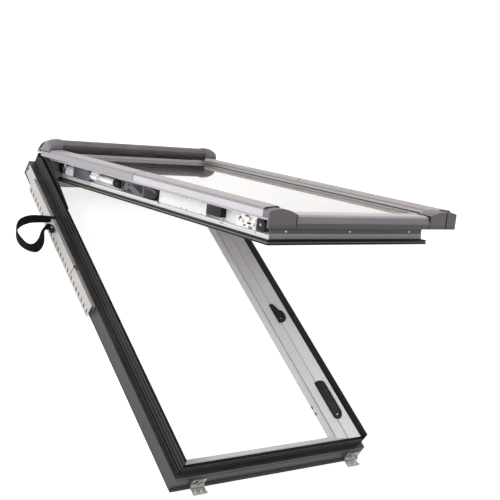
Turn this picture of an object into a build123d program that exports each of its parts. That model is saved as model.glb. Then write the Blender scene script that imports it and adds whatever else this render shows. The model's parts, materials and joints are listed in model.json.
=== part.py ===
from build123d import *
from math import cos, hypot, radians
import os

# Top-hung roof window: a fixed frame and a sash that swings up about a high pivot.
# X runs across the window, Y up the slope and Z out of the roof. The origin is the
# middle of the frame's back plane. Sash pieces are drawn closed and then swung open.

# Overall sizes and the swing
frame_width = 650.0
frame_length = 1180.0
frame_depth = 48.0
hinge_inset = 30.0
hinge_height = 52.0
opening_angle = 35.0

# Frame section: insets from the outer face, heights from the front edge
sheet = 1.5
upstand_inset = 12.0
upstand_width = 8.0
upstand_height = 48.0
sill_upstand_height = 29.0
upstand_end_height = 26.0
liner_height = 29.0
step_inset = 37.0
step_depth = 1.0
seat_inset = 56.0
seat_depth = 22.0
reveal_inset = 63.0
foot_reach = 7.0
foot_thickness = 4.0

# Sash section, closed
body_inset = 72.0
body_back = -21.0
channel_low = 2.0
channel_high = 36.0
channel_depth = 14.0
wing_low = 44.0
wing_high = 61.0
wing_crown = 66.0
low_wing_crown = 56.5
strip_step = 5.0
pane_rebate = 56.0
unit_rebate = 90.0
glass_floor = 31.0
sash_reveal = 110.0
gasket_inset = 59.0
gasket_low = -21.6
gasket_high = -9.0

# Glass unit
glass_inset = 58.0
unit_inset = 92.0
inner_pane = 4.0
spacer_height = 16.0
outer_pane = 6.0
spacer_width = 12.0
glass_gap = 0.3

# Covers of the sash
cover_inset = 13.5
cover_low = 50.0
cover_edge = 68.0
cover_bevel = 73.5
cover_ridge = 77.0
cover_ridge_inset = 54.0
cover_inner_inset = 62.0
cover_inner_low = 66.0
cover_split = 600.0
cover_joint = 0.6
cover_end_inset = 28.0
low_cover_inset = 8.0
low_cover_bottom = 27.0
low_cover_brow = 42.0
low_cover_shoulder = 56.0
low_cover_top = 59.1
low_cover_lap = 5.0
cap_width = 84.0
right_cap_extra = 14.0
cap_split = 38.0
cap_groove = 2.0
cap_depth = 46.0
cap_wall = 3.0
cap_inner_height = 62.0
bead_foot = 66.0

# Hood over the pivot: insets from the head end and heights of the points it passes
hood_front_inset = 74.0
hood_front_height = 66.3
hood_bulge_inset = 82.0
hood_bulge_height = 86.0
hood_crown_inset = 55.0
hood_crown_height = 104.5
hood_shoulder_inset = 17.0
hood_shoulder_height = 88.0
hood_rear_reach = 1.0
hood_rear_height = 59.0
hood_wall = 1.6
hood_cap_width = 44.0
hood_cap_proud = 2.5
hood_joint_inset = 27.0
hood_joint_gap = 2.0

# Hinges
plate = 3.0
plate_gap = 0.4
pin_radius = 4.0
pin_clearance = 0.06
eye_radius = 9.5
frame_plate_length = 232.0
frame_plate_shoulder = 80.0
frame_plate_neck = 60.0
frame_plate_rise = 10.0
sash_plate_length = 150.0

# Fixing strips, clips and strap on the frame
strip_reach = 12.5
strip_sheet = 1.2
strip_foot_inset = 602.0
strip_joint_inset = 454.0
strip_end_inset = 80.0
strip_lift = 2.0
slot_pitch = 21.0
slot_length = 11.0
slot_height = 12.0
slot_slant = 5.0
corner_plate_inset = 14.0
corner_notch = 6.0
clip_width = 42.0
clip_places = (-242.0, 293.0)
clip_reach = 22.0
clip_height = 30.0
clip_sheet = 2.5
clip_window = 24.0
clip_slot = 11.0
strap_width = 25.0
strap_thickness = 2.4
strap_low = 30.0
strap_inset = 254.0
clamp_inset = 284.0

# Sash hardware along the side channels, chained down from the head and up from the sill
rack_inset = 87.0
rack_length = 51.0
tooth_pitch = 12.0
tooth_height = 7.0
drive_length = 105.6
damper_length = 153.6
damper_radius = 10.5
collar_length = 27.0
collar_lap = 6.0
collar_radius = 12.0
gearbox_length = 124.0
link_length = 75.0
hardware_joint = 0.4
hardware_face = 71.0
guide_stand = 2.0
guide_gap = 6.0
end_block_start = 87.0
end_block_length = 32.6
lock_length = 80.0
lock_gap = 0.3
stop_start = 264.0
stop_length = 63.6

# Strikes on the jambs, as stretches up the slope, and the handle on the low rail
low_strike_span = (105.0, 250.0)
high_strike_span = (482.0, 562.0)
strike_thickness = 5.0
strike_foot = 5.0
strike_width = 22.0
strike_round = 9.0
strike_screw = 3.0
strike_rib = 2.0
handle_drop = 2.0
handle_length = 118.0
handle_width = 18.0
handle_thickness = 9.0
handle_stand = 10.0
rosette_thickness = 6.0
rosette_length = 70.0
rosette_width = 28.0
spindle_radius = 8.0
spindle_clearance = 0.06

half_width = frame_width / 2
half_length = frame_length / 2
hinge_y = half_length - hinge_inset
hinge_z = frame_depth + hinge_height
wing_inset = upstand_inset + upstand_width + 2 * plate + plate_gap
swing = (
    Location((0, hinge_y, hinge_z))
    * Location((0, 0, 0), (-opening_angle, 0, 0))
    * Location((0, -hinge_y, -hinge_z))
)
still = Location()
hood_front = frame_length - hood_front_inset
hood_bulge = frame_length - hood_bulge_inset
hood_crown = frame_length - hood_crown_inset
hood_shoulder = frame_length - hood_shoulder_inset
hood_rear = frame_length + hood_rear_reach
SIDES = {
    "left": ((-1, 0), (1, 0, 0), (0, -1, 0), half_length),
    "right": ((1, 0), (-1, 0, 0), (0, 1, 0), half_length),
    "sill": ((0, -1), (0, 1, 0), (1, 0, 0), half_width),
    "head": ((0, 1), (0, -1, 0), (-1, 0, 0), half_width),
}

os.makedirs("parts", exist_ok=True)


def write(builder, name, place=still):
    """Label a finished piece, set it in its place and write it."""
    builder.part.label = name
    export_step(place * builder.part, f"parts/{name}.step")


def section_plane(side, along=0.0):
    """Plane across a member: x is the inset from the outer face, y the height."""
    reach, inward, run, _ = SIDES[side]
    origin = Vector(reach[0] * half_width, reach[1] * half_length, frame_depth)
    return Plane(origin + Vector(*run) * along, x_dir=inward, z_dir=run)


def up_slope(side, distance):
    """Offset along a jamb's section plane of a point this far up from the sill."""
    run = SIDES[side][2][1]
    return run * (distance - half_length)


def mitre(side):
    """Cut both ends of a member on the diagonals of the frame's outer rectangle."""
    reach, inward, run, half = SIDES[side]
    middle = Vector(reach[0] * half_width, reach[1] * half_length, frame_depth)
    for end in (1, -1):
        corner = middle + Vector(*run) * (end * half)
        split(bisect_by=Plane(corner, z_dir=Vector(*inward) + Vector(*run) * end), keep=Keep.BOTTOM)


def member(side, points):
    """One mitred member from a section given as (inset, height) points."""
    with BuildPart() as piece:
        with BuildSketch(section_plane(side)):
            with BuildLine():
                Polyline(*points, close=True)
            make_face()
        extrude(amount=SIDES[side][3], both=True)
        mitre(side)
    return piece


def stretch(side, points, span):
    """A straight length of a section on a jamb, between two distances up the slope."""
    start, end = sorted(up_slope(side, value) for value in span)
    with BuildPart() as piece:
        with BuildSketch(section_plane(side, start)):
            with BuildLine():
                Polyline(*points, close=True)
            make_face()
        extrude(amount=end - start)
    return piece


def fold(points, thickness):
    """Outline of a folded sheet: the given outer line, and its inner line at its right."""
    inner = []
    for index, point in enumerate(points):
        before = points[max(index - 1, 0)]
        after = points[min(index + 1, len(points) - 1)]
        normals = []
        for first, second in ((before, point), (point, after)):
            length = hypot(second[0] - first[0], second[1] - first[1])
            if length:
                normals.append(((second[1] - first[1]) / length, (first[0] - second[0]) / length))
        mean = [sum(values) / len(normals) for values in zip(*normals)]
        scale = thickness / (mean[0] ** 2 + mean[1] ** 2)
        inner.append((point[0] + mean[0] * scale, point[1] + mean[1] * scale))
    return list(points) + inner[::-1]


# Frame: white profiles, grey outer cladding and black upstands
frame_body = [
    (sheet, -frame_depth),
    (reveal_inset, -frame_depth),
    (reveal_inset, -seat_depth),
    (seat_inset, -seat_depth),
    (step_inset + 2 * sheet, -step_depth - sheet),
    (step_inset, -step_depth + sheet),
    (upstand_inset + upstand_width, liner_height - sheet),
    (upstand_inset + sheet, liner_height - sheet),
    (upstand_inset + sheet, -sheet),
    (sheet, -sheet),
]
cladding_line = [(0, -frame_depth), (0, 0), (upstand_inset, 0)]
sill_cladding = [
    (-foot_reach, -frame_depth),
    (-foot_reach, -frame_depth + sheet),
    (0, -frame_depth + foot_thickness),
    (0, 0),
    (upstand_inset, 0),
    (upstand_inset, -sheet),
    (sheet, -sheet),
    (sheet, -frame_depth),
]
for side in SIDES:
    profile = member(side, frame_body)
    write(profile, f"frame_profile_{side}")

    cladding = member(side, sill_cladding if side == "sill" else fold(cladding_line, sheet))
    write(cladding, f"cladding_{side}")

    top = sill_upstand_height if side == "sill" else upstand_height
    upstand_line = [
        (upstand_inset, 0),
        (upstand_inset, top - sheet),
        (upstand_inset + sheet, top),
        (upstand_inset + upstand_width, top),
        (upstand_inset + upstand_width, liner_height - sheet),
        (upstand_inset + sheet, liner_height - sheet),
        (upstand_inset + sheet, 0),
    ]
    blank = member(side, upstand_line)
    with BuildPart() as upstand:
        add(blank.part)
        if side in ("left", "right"):
            with BuildSketch(Plane.YZ.offset(-half_width)):
                with BuildLine():
                    Polyline(
                        (hinge_y - hinge_inset / 3, hinge_z),
                        (hinge_y - hinge_inset / 3, frame_depth + upstand_height),
                        (half_length, frame_depth + upstand_end_height),
                        (half_length + sheet, hinge_z),
                        close=True,
                    )
                make_face()
            extrude(amount=frame_width, mode=Mode.SUBTRACT)
    write(upstand, f"upstand_{side}")

# Sash: channelled profiles that carry the glass, drawn closed
pane_seat = glass_floor + inner_pane + spacer_height
for side in SIDES:
    crown = wing_crown if side in ("left", "right") else low_wing_crown
    edge = wing_high if side in ("left", "right") else low_wing_crown
    channel = [
        (body_inset, channel_low),
        (body_inset + channel_depth, channel_low),
        (body_inset + channel_depth, channel_high),
        (body_inset, channel_high),
    ]
    plain_face = [
        (body_inset, body_back),
        (body_inset, gasket_high),
        (body_inset - sheet, gasket_high),
        (body_inset - sheet, strip_step),
        (body_inset, strip_step),
    ]
    sash_body = [
        *([(body_inset, body_back), *channel] if side in ("left", "right") else plain_face),
        (body_inset, channel_high + sheet),
        (wing_inset, wing_low),
        (wing_inset, edge),
        (pane_rebate - 2 * sheet, crown),
        (pane_rebate, crown - sheet),
        (pane_rebate, pane_seat),
        (unit_rebate, pane_seat),
        (unit_rebate, glass_floor),
        (sash_reveal - 2 * sheet, glass_floor),
        (sash_reveal, glass_floor - 4 * sheet),
        (sash_reveal - 2 * sheet, body_back),
    ]
    rail = member(side, sash_body)
    write(rail, f"sash_profile_{side}", swing)

gasket_section = [
    (body_inset, gasket_low),
    (gasket_inset + sheet, gasket_low),
    (gasket_inset, gasket_low + 2 * sheet),
    (gasket_inset + 4 * sheet, gasket_low + 3 * sheet),
    (gasket_inset + 2 * sheet, gasket_low + 5 * sheet),
    (gasket_inset + 4 * sheet, gasket_high),
    (body_inset, gasket_high),
]
gaskets = [member(side, gasket_section) for side in SIDES]
with BuildPart() as sash_gasket:
    add([length.part for length in gaskets])
write(sash_gasket, "sash_gasket", swing)

# Stepped glass unit: the outer pane reaches out over the sash, the inner one sits inside
inner_level = frame_depth + glass_floor + glass_gap
panes = {
    "glass_inner": (unit_inset, inner_level, inner_pane),
    "glass_outer": (glass_inset, frame_depth + pane_seat + glass_gap, outer_pane),
}
for name, (inset, level, thickness) in panes.items():
    with BuildPart() as pane:
        with BuildSketch(Plane.XY.offset(level)):
            Rectangle(frame_width - 2 * inset, frame_length - 2 * inset)
        extrude(amount=thickness)
    write(pane, name, swing)
with BuildPart() as spacer:
    with BuildSketch(Plane.XY.offset(inner_level + inner_pane)):
        spacer_sheet = Rectangle(frame_width - 2 * unit_inset, frame_length - 2 * unit_inset)
        offset(spacer_sheet, amount=-spacer_width, mode=Mode.SUBTRACT, kind=Kind.INTERSECTION)
    extrude(amount=spacer_height)
write(spacer, "glass_spacer", swing)
glass_top = pane_seat + glass_gap + outer_pane

# Side covers, each in two lengths
side_cover_line = [
    (cover_inset, cover_low),
    (cover_inset, cover_edge),
    (cover_inset + 3 * sheet, cover_bevel),
    (cover_ridge_inset, cover_ridge),
    (cover_inner_inset - sheet, cover_ridge - 2 * sheet),
    (cover_inner_inset, cover_inner_low),
]
cover_face = fold(side_cover_line, sheet)
cap_start = low_cover_inset + cap_depth
for side in ("left", "right"):
    lower = stretch(side, cover_face, (cap_start, cover_split - cover_joint))
    write(lower, f"side_cover_low_{side}", swing)
    blank = stretch(side, cover_face, (cover_split, frame_length - cover_end_inset))
    with BuildPart() as upper:
        add(blank.part)
        with BuildSketch(Plane.YZ.offset(-half_width)):
            with Locations((hood_bulge - hood_cap_proud - sheet - half_length, frame_depth + cover_inner_low)):
                Rectangle(frame_length, frame_depth, align=Align.MIN)
        extrude(amount=frame_width, mode=Mode.SUBTRACT)
    write(upper, f"side_cover_high_{side}", swing)

# Low cover between its end caps
low_cover_line = [
    (low_cover_inset, low_cover_bottom),
    (low_cover_inset, low_cover_brow),
    (low_cover_inset + 4 * sheet, low_cover_shoulder),
    (low_cover_inset + 10 * sheet, low_cover_top),
    (glass_inset + low_cover_lap, low_cover_top),
]
low_cover_left = cover_inset + cap_width + cover_joint
low_cover_right = cover_inset + cap_width + right_cap_extra + cover_joint
with BuildPart() as low_cover:
    with BuildSketch(section_plane("sill", low_cover_left - half_width)):
        with BuildLine():
            Polyline(*fold(low_cover_line, sheet), close=True)
        make_face()
    extrude(amount=frame_width - low_cover_left - low_cover_right)
write(low_cover, "low_cover", swing)


def cap_outline(hand, total, wall):
    """Domed outline of an end cap, moved inwards by a wall; the foot stays open."""
    outer = half_width - cover_inset
    near = hand * (outer - wall)
    far = hand * (outer - total + wall)
    foot = frame_depth + low_cover_bottom - wall
    sides = Polyline(
        (far, frame_depth + cap_inner_height - wall),
        (far, foot),
        (near, foot),
        (near, frame_depth + cover_edge - wall),
    )
    ThreePointArc(sides @ 1, (hand * (outer - total / 3), frame_depth + cover_ridge - wall), sides @ 0)


def cap(hand, total, start, end):
    """Hollow end cap of the low cover, domed across the window, between two insets."""
    outer = half_width - cover_inset
    front = Plane((0, low_cover_inset - half_length, 0), x_dir=(1, 0, 0), z_dir=(0, -1, 0))
    with BuildPart() as piece:
        with BuildSketch(front):
            with BuildLine():
                cap_outline(hand, total, 0)
            make_face()
        extrude(amount=cover_joint - cap_depth)
        with BuildSketch(front.offset(-cap_wall)):
            with BuildLine():
                cap_outline(hand, total, cap_wall)
            make_face()
        extrude(amount=-cap_depth, mode=Mode.SUBTRACT)
        with BuildSketch(Plane.XY):
            with Locations((hand * (outer - (start + end) / 2), 0)):
                Rectangle(end - start, frame_length)
        extrude(amount=2 * frame_depth + cover_ridge, mode=Mode.INTERSECT)
        with BuildSketch(Plane.XY):
            with Locations((hand * (outer - cap_wall - total / 2), wing_inset - glass_gap - half_length)):
                Rectangle(total, frame_length, align=(Align.CENTER, Align.MIN))
        extrude(amount=frame_depth + low_wing_crown + glass_gap, mode=Mode.SUBTRACT)
        with BuildSketch(Plane.XY):
            with Locations((hand * (outer - total / 2), low_cover_inset + cap_wall - half_length)):
                Rectangle(2 * total, frame_length, align=(Align.CENTER, Align.MIN))
        extrude(amount=frame_depth + cover_low, mode=Mode.SUBTRACT)
    return piece


right_total = cap_width + right_cap_extra
left_cap = cap(-1, cap_width, 0, cap_width)
write(left_cap, "low_cap_left", swing)
right_cap = cap(1, right_total, cap_split, right_total)
write(right_cap, "low_cap_right", swing)
right_side_cap = cap(1, right_total, 0, cap_split - cap_groove)
write(right_side_cap, "low_cap_side_right", swing)

# Glazing bead along the head and both sides, silver, with its foot on the glass
bead_section = [
    (cover_inner_inset, cover_inner_low),
    (cover_inner_inset - 2 * sheet, glass_top + glass_gap),
    (bead_foot, glass_top + glass_gap),
    (cover_inner_inset + sheet, cover_inner_low),
]
head_bead_shift = half_length - (hood_front - half_length) - cover_inner_inset
bead_start = glass_inset + 4 * sheet
side_beads = [stretch(side, bead_section, (bead_start, hood_front - sheet)) for side in ("left", "right")]
with BuildPart() as glazing_bead:
    add([length.part for length in side_beads])
    with BuildSketch(section_plane("head")):
        with BuildLine():
            Polyline(*[(inset + head_bead_shift, height) for inset, height in bead_section], close=True)
        make_face()
    extrude(amount=half_width - cover_inner_inset, both=True)
write(glazing_bead, "glazing_bead", swing)


def at(distance, height):
    """Point on a plane across the pivot: distance up the slope, height above the front."""
    return (distance - half_length, frame_depth + height)


# Hood over the pivot and its end caps
def hood_outline(grow):
    """Line of the hood's section moved outwards by an amount; gives back its two ends."""
    slant = grow * cos(radians(45))
    nose = ThreePointArc(
        at(hood_front - grow, hood_front_height),
        at(hood_bulge - grow, hood_bulge_height),
        at(hood_crown, hood_crown_height + grow),
    )
    back = ThreePointArc(
        nose @ 1,
        at(hood_shoulder + slant, hood_shoulder_height + slant),
        at(hood_rear + grow, hood_rear_height),
    )
    return nose @ 0, back @ 1


hood_span = frame_width - 2 * (cover_inset + hood_cap_width)
with BuildPart() as hood:
    with BuildSketch(Plane.YZ.offset(-hood_span / 2)):
        with BuildLine():
            outer_ends = hood_outline(0)
            inner_ends = hood_outline(-hood_wall)
            Line(outer_ends[0], inner_ends[0])
            Line(outer_ends[1], inner_ends[1])
        make_face()
    extrude(amount=hood_span)
write(hood, "hood", swing)


def hood_seam(shift):
    """Curved joint between the front and the rear end cap, gives back its two ends."""
    foot = frame_length - hood_joint_inset + shift
    seam = ThreePointArc(
        at(foot, cover_edge / 2),
        at(foot + 2 * sheet, hood_bulge_height - 2 * sheet),
        at(hood_crown + shift, hood_crown_height + 4 * sheet),
    )
    return seam @ 0, seam @ 1


cheek = 2 * sheet
cap_span = hood_cap_width - glass_gap
for side, hand in (("left", -1), ("right", 1)):
    cap_outer = Plane.YZ.offset(hand * (half_width - cover_inset))
    cap_inner = Plane.YZ.offset(hand * (half_width - cover_inset - cheek))
    for name, shift, reach in (
        (f"hood_cap_{side}", -hood_joint_gap, hood_bulge - frame_length),
        (f"hood_rear_cap_{side}", 0, half_length),
    ):
        with BuildPart() as hood_cap:
            with BuildSketch(cap_outer):
                with BuildLine():
                    Line(*hood_outline(hood_cap_proud))
                make_face()
            extrude(amount=-hand * cap_span)
            with BuildSketch(cap_inner):
                with BuildLine():
                    ends = hood_outline(hood_cap_proud - cheek)
                    Polyline(ends[0], ends[0] - (0, cheek), ends[1] - (0, cheek), ends[1])
                make_face()
            extrude(amount=-hand * cap_span, mode=Mode.SUBTRACT)
            with BuildSketch(Plane.YZ.offset(-half_width)):
                with BuildLine():
                    foot, tip = hood_seam(shift)
                    Polyline(tip, tip + (reach, 0), foot + (reach, 0), foot)
                make_face()
            extrude(amount=frame_width, mode=Mode.INTERSECT)
            if reach < 0:
                with BuildSketch(Plane.YZ.offset(-half_width)):
                    with Locations(at(0, cover_edge)):
                        Rectangle(2 * frame_length, frame_depth, align=(Align.MIN, Align.MAX))
                extrude(amount=frame_width, mode=Mode.SUBTRACT)
        write(hood_cap, name, swing)

# Hinges: a plate with its pin on each jamb, and an arm with an eye on the sash
seat = half_width - upstand_inset - upstand_width
plate_start = frame_length - hinge_inset - frame_plate_length
frame_plate = [
    (plate_start, liner_height + sheet),
    (plate_start, upstand_height + sheet),
    (plate_start + frame_plate_shoulder, upstand_height + frame_plate_rise),
    (frame_length - hinge_inset - frame_plate_neck, hinge_height + eye_radius + sheet),
    (frame_length - hinge_inset, hinge_height + eye_radius),
    (frame_length - hinge_inset, liner_height + sheet),
]
arm_start = frame_length - hinge_inset - sash_plate_length
sash_arm = [
    (arm_start, wing_low + 2 * sheet),
    (arm_start, wing_high - 2 * sheet),
    (frame_length - hinge_inset, hinge_height + eye_radius - sheet),
    (frame_length - hinge_inset, hinge_height - eye_radius + sheet),
]
for side, hand in (("left", -1), ("right", 1)):
    with BuildPart() as frame_hinge:
        with BuildSketch(Plane.YZ.offset(hand * seat)):
            with BuildLine():
                Polyline(*[at(*point) for point in frame_plate], close=True)
            make_face()
            with Locations((hinge_y, hinge_z)):
                Circle(eye_radius)
        extrude(amount=-hand * plate)
        with BuildSketch(Plane.YZ.offset(hand * seat)):
            with Locations((hinge_y, hinge_z)):
                Circle(pin_radius)
        extrude(amount=-hand * 2 * plate)
    write(frame_hinge, f"frame_hinge_{side}")

    with BuildPart() as sash_hinge:
        with BuildSketch(Plane.YZ.offset(hand * (seat - plate - plate_gap))):
            with BuildLine():
                Polyline(*[at(*point) for point in sash_arm], close=True)
            make_face()
            with Locations((hinge_y, hinge_z)):
                Circle(eye_radius - sheet)
                Circle(pin_radius + pin_clearance, mode=Mode.SUBTRACT)
        extrude(amount=-hand * plate)
    write(sash_hinge, f"sash_hinge_{side}", swing)

# Strikes on the sloping inner faces of the jambs
slope_top = (upstand_inset + upstand_width, liner_height - sheet)
slope_foot = (step_inset, -step_depth + sheet)
slope_length = hypot(slope_foot[0] - slope_top[0], slope_foot[1] - slope_top[1])
slope_run = ((slope_foot[0] - slope_top[0]) / slope_length, (slope_foot[1] - slope_top[1]) / slope_length)
for side, hand in (("left", -1), ("right", 1)):
    face_normal = (hand * slope_run[1], 0, slope_run[0])
    for name, span in (("low", low_strike_span), ("high", high_strike_span)):
        foot_point = (hand * (half_width - slope_foot[0]), span[0] - half_length, frame_depth + slope_foot[1])
        face = Plane(foot_point, x_dir=(0, 1, 0), z_dir=face_normal)
        length = span[1] - span[0]
        low_edge = -hand * strike_foot
        high_edge = -hand * (strike_foot + strike_width)
        middle = (low_edge + high_edge) / 2
        with BuildPart() as strike:
            with BuildSketch(face):
                with BuildLine():
                    Polyline(
                        (0, low_edge),
                        (length, low_edge),
                        (length, middle),
                        (length - strike_width, high_edge),
                        (strike_round, high_edge),
                        (0, middle),
                        close=True,
                    )
                make_face()
            extrude(amount=strike_thickness)
            with BuildSketch(face.offset(strike_thickness)):
                with Locations((length * 0.6, low_edge - hand * 2 * strike_rib)):
                    Rectangle(length * 0.7, strike_rib)
            extrude(amount=strike_rib)
            with BuildSketch(face.offset(strike_thickness)):
                with Locations((strike_round, middle)):
                    Circle(strike_screw)
            extrude(amount=-strike_rib, mode=Mode.SUBTRACT)
        write(strike, f"strike_{name}_{side}")

# Fixing strips on the outer sides: a folded, slotted strip in two lengths
strip_joint = frame_length - strip_joint_inset
strip_spans = {
    "low": (frame_length - strip_foot_inset, strip_joint),
    "high": (strip_joint + 2 * sheet, frame_length - strip_end_inset),
}
corner_plate_end = frame_length - corner_plate_inset
for side, hand in (("left", -1), ("right", 1)):
    for name, span in strip_spans.items():
        blank = stretch(
            side,
            [
                (0, -strip_lift),
                (-strip_reach, -strip_lift),
                (-strip_reach, strip_lift - frame_depth),
                (-strip_reach + strip_sheet, strip_lift - frame_depth),
                (-strip_reach + strip_sheet, -strip_lift - strip_sheet),
                (-strip_sheet, -strip_lift - strip_sheet),
                (-strip_sheet, strip_lift - frame_depth / 2),
                (0, strip_lift - frame_depth / 2),
            ],
            span,
        )
        count = int((span[1] - span[0]) / slot_pitch)
        with BuildPart() as strip:
            add(blank.part)
            middle = (span[0] + span[1]) / 2 - half_length
            with BuildSketch(Plane.YZ.offset(hand * (half_width + strip_reach + sheet))):
                with Locations((middle, frame_depth / 4 + strip_lift)):
                    with GridLocations(slot_pitch, 1, count, 1):
                        Polygon(
                            (-slot_length / 2, -slot_height / 2),
                            (slot_length / 2 - slot_slant, -slot_height / 2),
                            (slot_length / 2, slot_height / 2),
                            (slot_slant - slot_length / 2, slot_height / 2),
                        )
            extrude(amount=-hand * (strip_sheet + 2 * sheet), mode=Mode.SUBTRACT)
            if name == "high":
                with BuildSketch(Plane.YZ.offset(hand * half_width)):
                    with BuildLine():
                        Polyline(
                            at(span[1] - slot_pitch, -strip_lift),
                            at(corner_plate_end, -strip_lift),
                            at(corner_plate_end, -frame_depth / 4),
                            at(corner_plate_end - corner_notch, -frame_depth / 4),
                            at(corner_plate_end - corner_notch, -frame_depth / 2),
                            at(corner_plate_end, -frame_depth / 2),
                            at(corner_plate_end, -frame_depth + 5 * strip_lift),
                            at(span[1] - slot_pitch, -frame_depth + strip_lift),
                            close=True,
                        )
                    make_face()
                extrude(amount=hand * strip_sheet)
        write(strip, f"strip_{name}_{side}")

# Clips under the sill
for place, name in zip(clip_places, ("left", "right")):
    with BuildPart() as clip:
        with BuildSketch(Plane.YZ.offset(place - clip_width / 2)):
            with BuildLine():
                foot = -half_length - foot_reach
                Polyline(
                    (foot, sheet),
                    (foot - clip_reach, sheet),
                    (foot - clip_reach, sheet + 3 * clip_sheet),
                    (foot - clip_reach + clip_sheet, sheet + 3 * clip_sheet),
                    (foot - clip_reach + clip_sheet, sheet + clip_sheet),
                    (foot - clip_sheet, sheet + clip_sheet),
                    (foot - clip_sheet, foot_thickness + clip_sheet),
                    (-half_length - clip_sheet, 3 * clip_sheet + foot_thickness),
                    (-half_length - clip_sheet, clip_height),
                    (-half_length, clip_height),
                    (-half_length, 2 * clip_sheet),
                    (foot, sheet),
                )
            make_face()
        extrude(amount=clip_width)
        with BuildSketch(Plane.XZ.offset(half_length)):
            with Locations((place, clip_height / 2)):
                Rectangle(clip_window, clip_height / 3)
        extrude(amount=foot_reach + clip_sheet, mode=Mode.SUBTRACT)
        with BuildSketch(Plane.XY):
            with Locations((place, foot - clip_reach / 2)):
                with GridLocations(clip_window - clip_slot / 2, 1, 2, 1):
                    Rectangle(clip_slot, clip_slot)
        extrude(amount=sheet + clip_sheet, mode=Mode.SUBTRACT)
    write(clip, f"sill_clip_{name}")

# Webbing strap: one loop out from the left strip and back, and the clamp that holds it
strap_edge = -half_width - strip_reach
strap_place = half_length - strap_inset
clamp_place = half_length - clamp_inset
clamp_reach = 6 * strap_thickness
strap_route = [
    (strap_edge, strap_place),
    (strap_edge - 70, strap_place),
    (strap_edge - 132, strap_place - 51),
    (strap_edge - 126, strap_place - 131),
    (strap_edge - 60, strap_place - 96),
    (strap_edge - clamp_reach - 18, clamp_place),
    (strap_edge - clamp_reach, clamp_place),
]
with BuildPart() as strap:
    with BuildSketch(Plane.XY.offset(strap_low)):
        with BuildLine() as route:
            FilletPolyline(*strap_route, radius=strap_width / 2)
        trace(route.line, line_width=strap_thickness)
    extrude(amount=strap_width)
write(strap, "strap")

with BuildPart() as strap_clamp:
    with BuildSketch(Plane.XY.offset(strap_low - strap_thickness)):
        with Locations((strap_edge - clamp_reach / 2, clamp_place)):
            RectangleRounded(clamp_reach, strap_width, strap_thickness)
    extrude(amount=strap_width / 2)
write(strap_clamp, "strap_clamp")


# Hardware in the side channels, the same on both sides
def both_sides(points, near, far, mode=Mode.ADD):
    """Prism on each side from an outline of (distance, height), between two insets."""
    for hand in (-1, 1):
        with BuildSketch(Plane.YZ.offset(hand * (half_width - near))) as outline:
            with BuildLine():
                Polyline(*[at(*point) for point in points], close=True)
            make_face()
        extrude(outline.sketch, amount=-hand * (far - near), mode=mode)


def bar(span, low, high):
    """Rectangle of a stretch of the channel between two heights."""
    return [(span[0], low), (span[1], low), (span[1], high), (span[0], high)]


channel_floor = body_inset + channel_depth
channel_middle = (channel_low + channel_high) / 2
rack_end = frame_length - rack_inset
rack_start = rack_end - rack_length
drive_end = rack_start - hardware_joint
drive_start = drive_end - drive_length
damper_end = drive_start - hardware_joint
damper_start = damper_end - damper_length
collar_start = damper_start - collar_length
gearbox_end = collar_start - hardware_joint
gearbox_start = gearbox_end - gearbox_length
link_end = gearbox_start - hardware_joint
link_start = link_end - link_length
end_block_end = end_block_start + end_block_length
stop_end = stop_start + stop_length
guide_start = stop_end + hardware_joint
guide_end = link_start - guide_gap
guide_middle = (guide_start + guide_end) / 2
rack_top = channel_high - tooth_height
with BuildPart() as pivot_racks:
    teeth = []
    for index in range(int(rack_length / tooth_pitch)):
        start = rack_start + index * tooth_pitch
        teeth += [
            (start, rack_top - tooth_height),
            (start + tooth_pitch / 5, rack_top),
            (start + tooth_pitch / 2, rack_top),
            (start + tooth_pitch * 3 / 4, rack_top - tooth_height),
        ]
    ends = [(rack_end, rack_top - tooth_height), (rack_end, channel_low), (rack_start, channel_low)]
    both_sides(teeth + ends, hardware_face, channel_floor)
write(pivot_racks, "pivot_racks", swing)

with BuildPart() as drive_blocks:
    both_sides(bar((drive_start, drive_end), channel_low, channel_high), hardware_face - sheet, channel_floor)
    ledge = (drive_start + tooth_pitch, drive_end - tooth_pitch)
    both_sides(bar(ledge, channel_middle, channel_high), hardware_face - sheet, body_inset + sheet, Mode.SUBTRACT)
write(drive_blocks, "drive_blocks", swing)

damper_inset = channel_floor - collar_radius
with BuildPart() as dampers:
    for hand in (-1, 1):
        axis_x = hand * (half_width - damper_inset)
        for start, end, radius in (
            (damper_start, damper_end, damper_radius),
            (collar_start, damper_start + collar_lap, collar_radius),
        ):
            ring = Plane(
                (axis_x, start - half_length, frame_depth + channel_middle),
                x_dir=(1, 0, 0),
                z_dir=(0, 1, 0),
            )
            with BuildSketch(ring):
                Circle(radius)
            extrude(amount=end - start)
write(dampers, "dampers", swing)

with BuildPart() as gearboxes:
    both_sides(bar((gearbox_start, gearbox_end), channel_low, channel_high), body_inset, channel_floor)
    window = (gearbox_start + 2 * tooth_pitch, gearbox_end - 2 * tooth_pitch)
    opening = bar(window, channel_low + tooth_height, channel_high - tooth_height)
    both_sides(opening, body_inset, body_inset + 2 * sheet, Mode.SUBTRACT)
    link_nose = link_length / 4
    both_sides(
        [
            (link_start, channel_middle - sheet),
            (link_start + link_nose, channel_low + sheet),
            (link_end, channel_low + sheet),
            (link_end, channel_high - sheet),
            (link_start + link_nose, channel_high - sheet),
            (link_start, channel_middle + 4 * sheet),
        ],
        hardware_face,
        channel_floor,
    )
write(gearboxes, "gearboxes", swing)

with BuildPart() as guide_plates:
    for start, end in ((guide_start, guide_middle - hardware_joint), (guide_middle, guide_end)):
        both_sides(bar((start, end), channel_low, channel_high), body_inset - guide_stand, channel_floor)
        notch = bar(
            (start + 2 * tooth_pitch, start + 3 * tooth_pitch),
            channel_high - tooth_height / 2,
            channel_high,
        )
        both_sides(notch, body_inset - guide_stand, body_inset + sheet, Mode.SUBTRACT)
write(guide_plates, "guide_plates", swing)

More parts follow.
